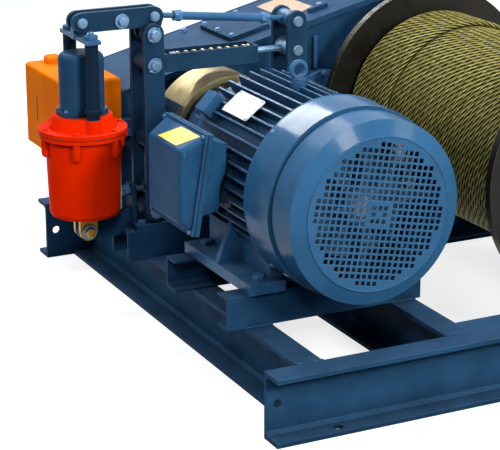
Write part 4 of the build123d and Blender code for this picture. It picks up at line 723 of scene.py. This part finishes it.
def coil_spring():
    """Brake spring with closed ends, as one coil of wire on the trough's body."""
    spring_x = ends("brake_spring", 0)
    spring_z = middle("brake_spring", 2)
    span = spring_x[1] - spring_x[0] - SPRING_WIRE
    steps = int(SPRING_TURNS * SPRING_STEPS)
    dead, live = SPRING_CLOSED, SPRING_TURNS - 2 * SPRING_CLOSED
    coil = []
    for i in range(steps + 1):
        turn = SPRING_TURNS * i / steps
        free = min(max(turn - dead, 0), live) / live
        closed = (min(turn, dead) + max(turn - SPRING_TURNS + dead, 0)) / dead
        x = spring_x[0] + SPRING_WIRE / 2 * (1 + closed) + (span - SPRING_WIRE) * free
        coil.append((x, YB + SPRING_R * math.cos(TURN * turn),
                     spring_z + SPRING_R * math.sin(TURN * turn)))
    spring = join("brake_spring_coil", [(tube(coil, SPRING_WIRE / 2, sides=10), None)], SPRING,
                  "trough_body", SOFT)
    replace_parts(spring, "brake_spring")
    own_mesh(spring)


# ---------------------------------------------------------------- units that repeat

UNITS = []


def unit(name, *shapes):
    """A shape that the trees copy; it is taken away again at the end."""
    form = Form()
    for shape in shapes:
        form.add(shape)
    UNITS.append(stand(name, form.mesh(name)))
    return UNITS[-1]


# Fasteners are drawn for a 10 mm thread, and sized where they are used
WASHER = lathe([(0, 0), (10.8, 0), (10.8, 1.5), (10.3, 2.0), (0, 2.0)], sides=20)
HEX_BOLT = unit("hex_bolt_unit", WASHER, prism(spread(6, 9.2), 1.5, 8.4, chamfer=1.2))
PLAIN_HEX = unit("plain_hex_unit", prism(spread(6, 10.0), 0.0, 9.0, chamfer=1.2))
CAP_SCREW = unit("cap_screw_unit", lathe([
    (0, 0), (8, 0), (8, 9.2), (7.2, 10), (4, 10), (4, 4.5), (0, 4.5)], sides=18))
RIVET = unit("rivet_unit", lathe([
    (0, 0), (3.2, 0), (3.0, 0.9), (2.2, 1.7), (1.0, 2.1), (0, 2.2)], sides=12))
LUG = unit("cast_lug_unit", lathe([
    (0, 0), (10.5, 0), (10.5, 30), (10, 38), (7.5, 43.5), (3.5, 46), (0, 46.5)], sides=16))
SPLIT_PIN = unit("split_pin_unit", tube([
    (-20, 3.5, 0), (-16, 0.7, 0), (14, 0.7, 0), (17, 3, 0), (20.5, 0, 0), (17, -3, 0),
    (14, -0.7, 0), (-16, -0.7, 0), (-19, -4, 0)], 1.2, sides=6))
RIPPLE = unit("weld_ripple_unit", lathe([
    (0, -3.2), (2.4, -2.1), (3.3, 0), (2.4, 2.1), (0, 3.2)], sides=8))


def fix(name, shape, rows, body, material, size=1.0, spin=math.pi):
    """Copies of a unit on rows of point, aim and, if it matters, side, as one piece on a body."""
    source = bpy.data.meshes.new(name + "_points")
    source.from_pydata([Vector(row[0]) * MM for row in rows], [], [])
    aims = source.attributes.new("aim", "FLOAT_VECTOR", "POINT").data
    for item, row in zip(aims, rows):
        item.vector = Vector(row[1]).normalized()
    sides = source.attributes.new("side", "FLOAT_VECTOR", "POINT").data
    for item, row in zip(sides, rows):
        side = Vector(row[2]) if len(row) > 2 else Vector(row[1]).orthogonal()
        item.vector = side.normalized()
    mesh = grow(name, source, FASTENERS, {
        "Unit": shape, "Size": size, "Spin": spin, "Seed": len(name), "Material": material})
    return show(name, mesh, None, body)


# ---------------------------------------------------------------- thruster

TANK_TOP = ends("thruster_tank", 2)[1]
TANK_FLANGE_R = ends("thruster_tank", 0)[1] - TX
TANK_FLANGE_T = 11.0
TANK_FLANGE_LAND = 11.0         # from the flange's edge to its screws
MOTOR_PLATE_T = 13.0
MOTOR_PLATE_BOLTS = (50, 24)
FILLER_X, FILLER_Y = 51, -4
ROD_Y = 75                      # push rods before and behind the thruster's axis
CROSSHEAD_RISE = 34             # above the thruster's motor at rest
CROSSHEAD_T = 9.5
CROSSHEAD_NUT = 11.0
FOOT_PIN_Z = 247.0
FOOT_PIN_END = 29.3


def dress_thruster():
    """Screws, lugs and gasket of the tank, the filler tube, and what is on the push rods."""
    body = "thruster_body"
    ring = [(TX + x, YB + y) for x, y in spread(6, TANK_FLANGE_R - TANK_FLANGE_LAND)]
    rows = [((x, y, TANK_TOP + TANK_FLANGE_T), UP) for x, y in ring]
    fix("thruster_flange_screws", HEX_BOLT, rows, body, RED, size=0.75)
    rows = [((x, y, TANK_TOP - TANK_FLANGE_T), DOWN) for x, y in ring]
    fix("thruster_flange_lugs", LUG, rows, body, RED, spin=0.0)
    inner, outer = TANK_FLANGE_R - 1.5, TANK_FLANGE_R + 0.5
    seam = lathe([(inner, -0.9), (outer, -0.9), (outer, 0.9), (inner, 0.9)], sides=64, closed=True)
    join("thruster_flange_gasket", [(seam, at(TX, YB, TANK_TOP))], GASKET, body)

    plate_z = ends("thruster_head", 2)[1] + MOTOR_PLATE_T
    dx, dy = MOTOR_PLATE_BOLTS
    rows = [((TX + sx * dx, YB + sy * dy, plate_z), UP) for sx, sy in CORNERS]
    fix("thruster_plate_bolts", HEX_BOLT, rows, body, BOLT_BLUE, size=0.7)
    filler = [(0, -2), (5.5, -2), (5.5, 40), (7.5, 40), (7.5, 47), (6, 48.5), (0, 48.5)]
    place = at(TX + FILLER_X, YB + FILLER_Y, plate_z)
    join("thruster_filler_tube", [(lathe(filler, sides=16), place)], BOLT_BLUE, body)

    low, high = plate_z - 11, ends("thruster_motor", 2)[1] + CROSSHEAD_RISE
    collar = [(0, 0), (21, 0), (21, 10), (19, 12), (0, 12)]
    sleeve = [(15.5, low), (16.8, low), (16.8, high), (15.5, high)]
    stud = [(0, -2), (7, -2), (7, 8), (6, 9), (0, 9)]
    for name, shape, z, material in (
            ("push_rod_collars", lathe(collar, sides=24), plate_z + 3, ROD_BLUE),
            ("push_rod_sleeves", lathe(sleeve, sides=32, closed=True), 0, ROD_BLUE),
            ("push_rod_stud_ends", lathe(stud, sides=16), high + CROSSHEAD_T + CROSSHEAD_NUT,
             BOLT_BLUE)):
        join(name, [(shape, at(TX, YB + s * ROD_Y, z)) for s in SIDES], material, "push_rod_body")
    rows = [((TX, YB + s * FOOT_PIN_END, FOOT_PIN_Z), (0, s, 0)) for s in SIDES]
    fix("thruster_foot_nuts", PLAIN_HEX, rows, "base", YELLOW_ZINC, size=1.3)


# ---------------------------------------------------------------- brake

# X and Z are measured from the wheel's axis
ARM_X = 202.0
SHOE_PIN_Z, SPRING_PIN_Z, LEVER_PIN_Z = 0, 202, 280
ARM_PIN_HEAD = 2.0              # from a pin's end back to its split pin
ARM_PIN_HEX = 2.4               # from there back to the hexagon
SPLIT_PIN_LEAN = (0.6, 0, 0.8)
SPACER_X, SPACER_Z = -278, 317
SPACER_HEAD = 4.0
TIE_LEFT, TIE_RIGHT = (-189, 320.7), (202, 278)
LOCK_NUTS = (62, 71)            # from the eye along the tie rod
STOP_HEXES = (258, 267)
STOP_Z = -128


def dress_brake():
    """Split pins, hexagons and lock nuts of the arms, the lever, the tie rod and the stops."""
    arm_x, pin_end = MX - ARM_X, YB - ends("left_arm_pins", 1)[0] - ARM_PIN_HEAD
    rows = [((arm_x, YB + s * pin_end, MZ + z), (0, s, 0), SPLIT_PIN_LEAN)
            for s in SIDES for z in (SHOE_PIN_Z, SPRING_PIN_Z, LEVER_PIN_Z)]
    fix("left_arm_split_pins", SPLIT_PIN, rows, "left_arm_body", ZINC, spin=0.0)
    rows = [((arm_x, YB + s * (pin_end - ARM_PIN_HEX), MZ + z), (0, s, 0))
            for s in SIDES for z in (SPRING_PIN_Z, LEVER_PIN_Z)]
    fix("left_arm_pin_hexes", PLAIN_HEX, rows, "left_arm_body", ZINC, size=1.25)
    spacer_end = YB - ends("lever_pins", 1)[0] - SPACER_HEAD
    rows = [((MX + SPACER_X, YB + s * spacer_end, MZ + SPACER_Z), (0, s, 0)) for s in SIDES]
    fix("lever_spacer_nuts", PLAIN_HEX, rows, "lever_body", ZINC, size=1.2)
    near, far = [Vector((MX + x, YB, MZ + z)) for x, z in (TIE_LEFT, TIE_RIGHT)]
    way = (far - near).normalized()
    rows = [(near + d * way, way) for d in LOCK_NUTS] + [(far - d * way, -way) for d in LOCK_NUTS]
    fix("tie_rod_lock_nuts", PLAIN_HEX, rows, "tie_rod_body", BOLT_BLUE, size=1.45)
    rows = [((MX + s * x, YB, MZ + STOP_Z), (s, 0, 0)) for s in SIDES for x in STOP_HEXES]
    fix("stop_bolt_hexes", PLAIN_HEX, rows, "base", BOLT_BLUE, size=1.4)


# ---------------------------------------------------------------- motor

COWL_YS = ends("fan_cowl", 1)
COWL_R = ends("fan_cowl", 2)[1] - MZ
COWL_SCREW_IN = 10
GRILLE_LIP_R = 178.5
SHIELD_FACE_Y = -48.5           # drive end
SHIELD_BOLT_R = 172
BARE_PLATE_TILT = math.radians(37.1)
BARE_PLATE_Y, BARE_PLATE_R = -232.2, 211.4
BARE_PLATE_W, BARE_PLATE_L, BARE_PLATE_T = 66.9, 127.6, 3.0
BARE_PLATE_RIVETS = (28.5, 58.8)
LID_T = 8.0
LID_SCREW_IN = 8.5
LID_GASKET_IN = 0.3
GASKET_R = 1.2
FILM_WAY = Vector((-0.3753, 0, 0.9269))
FILM_CORNERS = [(-724.0, -181.0, 573.3), (-674.0, -204.0, 593.5), (-673.5, -306.5, 593.7),
                (-724.0, -283.0, 573.3)]


def dress_motor():
    """Bare plate, rolled lips and screws of the cowl, and the shield's bolts."""
    way = Vector((-math.sin(BARE_PLATE_TILT), 0, math.cos(BARE_PLATE_TILT)))
    mid = Vector((MX, BARE_PLATE_Y, MZ)) + way * BARE_PLATE_R
    place = lie(mid, way.cross(Vector(REAR)), REAR, way)
    plate = slab(BARE_PLATE_W, BARE_PLATE_L, 0, BARE_PLATE_T, corner=5.0, chamfer=0.6)
    join("motor_bare_plate", [(plate, place)], WHITE_PLATE, "base")
    dx, dy = BARE_PLATE_RIVETS
    rows = [(place @ Vector((sx * dx, sy * dy, BARE_PLATE_T)), way) for sx, sy in CORNERS]
    fix("motor_plate_rivets", RIVET, rows, "base", ZINC)
    for name, radius, wire, y in (("cowl_grille_lip", GRILLE_LIP_R, 2.2, COWL_YS[0] + 0.4),
                                  ("cowl_rear_bead", COWL_R - 1.0, 2.6, COWL_YS[1])):
        bead = lathe([(radius + x, z) for x, z in spread(8, wire)], sides=96, closed=True)
        join(name, [(bead, along_y(MX, y, MZ))], SHEET_BLUE, "base", SOFT)
    rows = [((MX + x, COWL_YS[1] - COWL_SCREW_IN, MZ + z), (x, 0, z))
            for x, z in spread(4, COWL_R - 0.4, TURN / 8)]
    fix("cowl_screws", RIVET, rows, "base", BOLT_BLUE, size=2.2)
    rows = [((MX + x, SHIELD_FACE_Y, MZ + z), REAR) for x, z in spread(8, SHIELD_BOLT_R, TURN / 16)]
    fix("drive_end_shield_bolts", HEX_BOLT, rows, "base", BOLT_BLUE)


def dress_terminal_box():
    """Gasket, screws and bare yellow film of the lid, which leans outwards."""
    ys = ends("terminal_box", 1)
    low = Vector((ends("terminal_box", 0)[0], 0, ends("terminal_lid", 2)[0]))
    top = Vector((ends("terminal_lid", 0)[1], 0, ends("terminal_box", 2)[1]))
    up = (top - low).normalized()
    out = Vector((-up.z, 0, up.x))
    wide, tall = (ys[1] - ys[0]) / 2, (top - low).length / 2
    place = lie((low + top) / 2 + Vector((0, sum(ys) / 2, 0)), REAR, up, out)
    edge = [place @ Vector((sx * (wide - LID_GASKET_IN), sy * (tall - LID_GASKET_IN), 0))
            for sx, sy in LOOP]
    seal = tube(edge, GASKET_R, sides=6, closed=True)
    join("terminal_lid_gasket", [(seal, None)], GASKET, "base")
    rows = [(place @ Vector((sx * (wide - LID_SCREW_IN), sy * (tall - LID_SCREW_IN), LID_T)), out)
            for sx, sy in CORNERS]
    fix("terminal_lid_screws", CAP_SCREW, rows, "base", BOLT_BLUE, size=0.62)
    film = sheet(FILM_CORNERS, FILM_WAY, thick=1.0)
    join("terminal_lid_yellow_film", [(film, None)], YELLOW_FILM, "base")


# ---------------------------------------------------------------- gearbox and control box

CAP_FACES = ends("bearing_caps", 1)
CAP_OUT = 37.0                  # cap faces before and behind the gearbox walls
GEAR_YS = (CAP_FACES[0] + CAP_OUT, CAP_FACES[1] - CAP_OUT)
CAP_BOLT_CIRCLES = ((MX, 70.0), (middle("second_shaft", 0), 75.0),
                    (middle("third_shaft", 0), 90.0), (DX, 120.0))
ROOF_Z = MZ + 147               # above the motor axis
ROOF_SLOPE = 0.25
ROOF_WAY = Vector((-ROOF_SLOPE, 0, 1)).normalized()
ROOF_XS = (-588, 238)
ROOF_LIP = 6                    # of the roof plate past the gearbox walls
ROOF_LIP_UP, ROOF_LIP_DOWN = 0.8, -15
ROOF_SEAM_XS = (-585, 236)
ROOF_SEAM_OUT, ROOF_SEAM_UP = 2, -16
HATCH_T = 12.0
HATCH_BOLTS = (48.5, 87)
HATCH_EDGE = (59.4, 98.2)
HATCH_GASKET_R, HATCH_GASKET_UP = 1.0, 0.6
BUFF_XS, BUFF_YS = (-84, 6), (410, 588)
BUFF_T = 2.0
BUFF_RIVET_IN = 6
BAR_XS, BAR_YS, BAR_T = (-26, 30), (372, 386), 12
RIB_X, RIB_ZS = -40, (566, 654)
ROOF_BOLTS = ((21, 404), (60, 600), (-300, 610))
BREATHER_AT = (190, 520)
SIGHT_AT = (-180, GEAR_YS[1], 330)
DRAIN_AT = (-500, GEAR_YS[1], 215)
VENT_X, VENT_Y = -714, 551
SLOT_Y, SLOT_Z = 503, 491
BOX_SCREW_IN, BOX_SCREW_LOW, BOX_SCREW_HIGH = 12, 20, 24


def roof(x, y, lift=0.0):
    """Point on the sloping roof of the gearbox."""
    return Vector((x, y, ROOF_Z + ROOF_SLOPE * (x - MX))) + ROOF_WAY * lift


def on_roof(xs, low, high):
    """Outline in X and Z between two heights above the roof."""
    return [(x, roof(x, 0).z + rise) for x, rise in
            ((xs[0], low), (xs[1], low), (xs[1], high), (xs[0], high))]


def dress_gearbox():
    """Bolts, gasket, bare plate, edges and fittings of the gearbox."""
    rows = [((x + dx, y, MZ + dz), aim) for x, r in CAP_BOLT_CIRCLES
            for dx, dz in spread(6, r, TURN / 12) for y, aim in zip(CAP_FACES, (FRONT, REAR))]
    fix("bearing_cap_bolts", HEX_BOLT, rows, "base", BOLT_BLUE, size=0.75)
    hatch_x, hatch_y = middle("inspection_cover", 0), middle("inspection_cover", 1)
    dx, dy = HATCH_BOLTS
    rows = [(roof(hatch_x + sx * dx, hatch_y + sy * dy, HATCH_T), ROOF_WAY)
            for sx in SIDES for sy in (-1, 0, 1)]
    fix("inspection_cover_bolts", HEX_BOLT, rows, "base", BOLT_BLUE, size=0.85)
    dx, dy = HATCH_EDGE
    edge = [roof(hatch_x + sx * dx, hatch_y + sy * dy, HATCH_GASKET_UP) for sx, sy in LOOP]
    seal = tube(edge, HATCH_GASKET_R, sides=6, closed=True)
    join("inspection_cover_gasket", [(seal, None)], GASKET, "base")
    (x0, x1), (y0, y1), inset = BUFF_XS, BUFF_YS, BUFF_RIVET_IN
    quad = [roof(x0, y0), roof(x1, y0), roof(x1, y1), roof(x0, y1)]
    join("gearbox_bare_plate", [(sheet(quad, ROOF_WAY, BUFF_T), None)], BUFF_FILM, "base")
    rows = [(roof(x, y, BUFF_T), ROOF_WAY)
            for x in (x0 + inset, x1 - inset) for y in (y0 + inset, y1 - inset)]
    fix("gearbox_plate_rivets", RIVET, rows, "base", ZINC, size=1.2)

    strip = on_roof(ROOF_XS, ROOF_LIP_UP, ROOF_LIP_DOWN)
    lips = [prism(strip, GEAR_YS[0] - ROOF_LIP, GEAR_YS[0] + 1),
            prism(strip, GEAR_YS[1] - 1, GEAR_YS[1] + ROOF_LIP)]
    join("gearbox_roof_edges", [(lip, XZ_TO_Y) for lip in lips], BLUE, "base")
    join("gearbox_roof_bar", [(prism(on_roof(BAR_XS, 0, BAR_T), *BAR_YS), XZ_TO_Y)], BLUE, "base")
    rib = slab(12, 14, *RIB_ZS, corner=2.0)
    join("gearbox_front_rib", [(rib, at(RIB_X, GEAR_YS[0] - ROOF_LIP, 0))], CAST_BLUE, "base")
    rows = [(roof(x, y), ROOF_WAY) for x, y in ROOF_BOLTS]
    fix("gearbox_roof_bolts", HEX_BOLT, rows, "base", BOLT_BLUE, size=1.1)

    breather = [(0, -2), (11, -2), (11, 14), (22, 14), (24, 17), (24, 28), (20, 33), (0, 34)]
    join("gearbox_breather", [(lathe(breather, sides=24), seat(roof(*BREATHER_AT), UP))], BOLT_BLUE,
         "base")
    rim = [(0, 0), (24, 0), (24, 7), (21, 9), (15, 9), (15, 5), (0, 5)]
    join("oil_sight_rim", [(lathe(rim, sides=32), seat(SIGHT_AT, REAR))], BOLT_BLUE, "base")
    glass = [(0, 0), (14.6, 0), (14.6, 5.6), (12, 7.0), (0, 7.6)]
    join("oil_sight_glass", [(lathe(glass, sides=32), seat(SIGHT_AT, REAR))], SIGHT, "base")
    fix("gearbox_drain_plug", HEX_BOLT, [(DRAIN_AT, REAR)], "base", BOLT_BLUE,
        size=1.8)


def dress_control_box():
    """Vent, latch slot and screws of the control box."""
    box_x, box_z = ends("control_box", 0), ends("control_box", 2)
    vent = slab(40, 46, -2, 20, corner=9.0, chamfer=5.0)
    join("control_box_vent", [(vent, at(VENT_X, VENT_Y, box_z[1]))], ORANGE, "base")
    # The latch slot is a thin black plate that stands for the painted shade inside the slit.
    latch = at(box_x[0], SLOT_Y, SLOT_Z) @ Matrix.Rotation(-math.pi / 2, 4, "Y")
    join("control_box_slot", [(slab(67, 5.0, -3, 0.5, corner=2.2), latch)], GASKET, "base")
    front = ends("control_box", 1)[0]
    rows = [((box_x[0] + BOX_SCREW_IN, front, z), FRONT)
            for z in (box_z[0] + BOX_SCREW_LOW, box_z[1] - BOX_SCREW_HIGH)]
    fix("control_box_screws", RIVET, rows, "base", ZINC, size=1.8)


# ---------------------------------------------------------------- drum, pedestal and frame

DRUM_BOLTS, DRUM_BOLT_R = 10, 160
LONG_CHANNELS = ((-620, -555, -555), (-232, -167, -167), (555, 620, 555))  # two sides and the web
WELD_LOW, WELD_HIGH = 12, 10    # clear of the channel's flanges
WELD_PITCH = 3.4
WELD_SEED = 7


def dress_drum():
    """Bolts of the drum's flanges and the grease nipple on its pedestal."""
    rows = [((DX + x, y, MZ + z), aim) for x, z in spread(DRUM_BOLTS, DRUM_BOLT_R)
            for y, aim in zip(ends("drum_flanges", 1), (FRONT, REAR))]
    fix("drum_flange_bolts", HEX_BOLT, rows, "drum", ZINC, size=1.5)
    nipple = [(0, -2), (7, -2), (7, 5), (4, 6), (4, 12), (5, 14), (3, 17), (0, 17.5)]
    place = at(DX, middle("pedestal_cap", 1), ends("pedestal_cap", 2)[1])
    join("pedestal_grease_nipple", [(lathe(nipple, sides=12), place)], YELLOW_ZINC, "base")


def weld_frame():
    """Weld beads where the frame's pieces meet and along the gearbox roof's edges."""
    top = ends("end_channels", 2)[1]
    seams = []
    for low, high, web in LONG_CHANNELS:
        for y in ends("long_channels", 1):
            seams += [((low, y, top), (high, y, top)),
                      ((web, y, WELD_LOW), (web, y, top - WELD_HIGH))]
    for y in ends("motor_supports", 1) + ends("brake_base", 1):
        seams += [((low, y, top), (high, y, top)) for low, high, _ in LONG_CHANNELS[:2]]
    for y in (GEAR_YS[0] - ROOF_SEAM_OUT, GEAR_YS[1] + ROOF_SEAM_OUT):
        seams.append([roof(x, y, ROOF_SEAM_UP) for x in ROOF_SEAM_XS])
    source = bpy.data.meshes.new("weld_seams")
    source.from_pydata([Vector(p) * MM for pair in seams for p in pair],
                       [(2 * i, 2 * i + 1) for i in range(len(seams))], [])
    mesh = grow("frame_weld_beads", source, WELDS, {
        "Unit": RIPPLE, "Pitch": WELD_PITCH * MM, "Seed": WELD_SEED, "Material": BLUE})
    show("frame_weld_beads", mesh, None, "base", SOFT)


# ---------------------------------------------------------------- camera, light and floor

AZIMUTH, ELEVATION = -26.39, 17.78
FLOOR_HALF, FLOOR_Z = 9, -0.001
WHITE = (1, 1, 1, 1)
# name, place, aim, size, power in watts, colour
LAMPS = (
    ("sky_panel", (0.1, -0.2, 3.6), (-0.1, 0.0, 0.4), (0.7, 2.2), 60, "#f4f8ff"),
    ("front_panel", (0.3, -4.8, 2.7), (-0.1, -0.2, 0.4), (0.9, 0.9), 155, "#fffaf2"),
    ("left_fill", (-2.6, -3.4, 3.2), (-0.4, 0.0, 0.4), (1.0, 1.0), 66, "#f4f8ff"),
    ("right_fill", (2.8, -3.4, 2.0), (-0.5, 0.0, 0.4), (1.0, 1.0), 48, "#fffaf2"),
    ("rear_left_fill", (-3.0, 1.0, 1.7), (-0.7, 0.45, 0.5), (0.7, 0.7), 19, "#fffaf2"),
    ("back_strip", (-0.3, 3.0, 2.7), (-0.5, -0.5, 0.66), (1.9, 0.3), 70, "#ffffff"))


def seen_white(tree, shaded, white):
    """White for what the eye, a shine or a clear piece sees; the shaded side lights the rest."""
    path = add(tree, "ShaderNodeLightPath").node.outputs
    seen = add(tree, "ShaderNodeMath", {0: path["Is Camera Ray"], 1: path["Is Glossy Ray"]},
               operation="MAXIMUM")
    seen = add(tree, "ShaderNodeMath", {0: seen, 1: path["Is Transmission Ray"]},
               operation="MAXIMUM")
    return add(tree, "ShaderNodeMixShader", {0: seen, 1: shaded, 2: white})


def set_camera(scene):
    """Camera at the photograph's viewing angle."""
    lens = bpy.data.cameras.new("camera")
    lens.sensor_width = 36.0
    lens.lens = 129.2
    lens.shift_x = -0.0052
    lens.shift_y = -0.002
    camera = bpy.data.objects.new("camera", lens)
    camera.location = (-2.3374, -3.9315, 1.6621)
    camera.rotation_euler = (math.radians(90 - ELEVATION), 0, math.radians(AZIMUTH))
    scene.collection.objects.link(camera)
    scene.camera = camera


def set_lamps(scene):
    """Soft panels round the object."""
    for name, place, target, size, power, colour in LAMPS:
        light = bpy.data.lights.new(name, "AREA")
        light.shape = "RECTANGLE"
        light.size, light.size_y = size
        light.energy = power
        light.color = srgb(colour)[:3]
        holder = bpy.data.objects.new(name, light)
        holder.location = place
        way = Vector(target) - Vector(place)
        holder.rotation_euler = way.to_track_quat("-Z", "Y").to_euler()
        scene.collection.objects.link(holder)


def set_surround(scene):
    """Grey sky that lights the object, seen as white."""
    world = bpy.data.worlds.new("studio_surround")
    scene.world = world
    world.use_nodes = True
    tree = world.node_tree
    tree.nodes.clear()
    way = add(tree, "ShaderNodeTexCoord").node.outputs["Generated"]
    up = add(tree, "ShaderNodeSeparateXYZ", {"Vector": way}).node.outputs["Z"]
    rise = add(tree, "ShaderNodeMapRange", {"Value": up, "From Min": -0.1, "From Max": 0.8})
    tone = add(tree, "ShaderNodeMix", {"Factor": rise, "A": srgb("#4a5058"), "B": srgb("#b4bcc8")},
               data_type="RGBA")
    sky = add(tree, "ShaderNodeBackground", {"Color": tone, "Strength": 0.55})
    white = add(tree, "ShaderNodeBackground", {"Color": WHITE, "Strength": 1.0})
    add(tree, "ShaderNodeOutputWorld", {"Surface": seen_white(tree, sky, white)})


def lay_floor(scene):
    """Pale floor that keeps the object's shadow."""
    ground = bpy.data.materials.new("pale_studio_floor")
    ground.use_nodes = True
    tree = ground.node_tree
    tree.nodes.clear()
    bounce = add(tree, "ShaderNodeBsdfDiffuse", {"Color": srgb("#666a6e")})
    shade = add(tree, "ShaderNodeBsdfDiffuse", {"Color": srgb("#c8c9ca")})
    glow = add(tree, "ShaderNodeEmission", {"Color": WHITE, "Strength": 0.76})
    lit = add(tree, "ShaderNodeAddShader", {0: shade, 1: glow})
    add(tree, "ShaderNodeOutputMaterial", {"Surface": seen_white(tree, bounce, lit)})
    mesh = bpy.data.meshes.new("studio_floor")
    corners = [(sx * FLOOR_HALF, sy * FLOOR_HALF, FLOOR_Z) for sx, sy in LOOP]
    mesh.from_pydata(corners, [], [(0, 1, 2, 3)])
    mesh.materials.append(ground)
    floor = bpy.data.objects.new("studio_floor", mesh)
    scene.collection.objects.link(floor)


bpy.context.scene.view_settings.view_transform = "Standard"
set_camera(bpy.context.scene)
wind_rope()
coil_spring()
dress_thruster()
dress_brake()
dress_motor()
dress_terminal_box()
dress_gearbox()
dress_control_box()
dress_drum()
weld_frame()
for left in UNITS:
    bpy.data.objects.remove(left)
set_lamps(bpy.context.scene)
set_surround(bpy.context.scene)
lay_floor(bpy.context.scene)
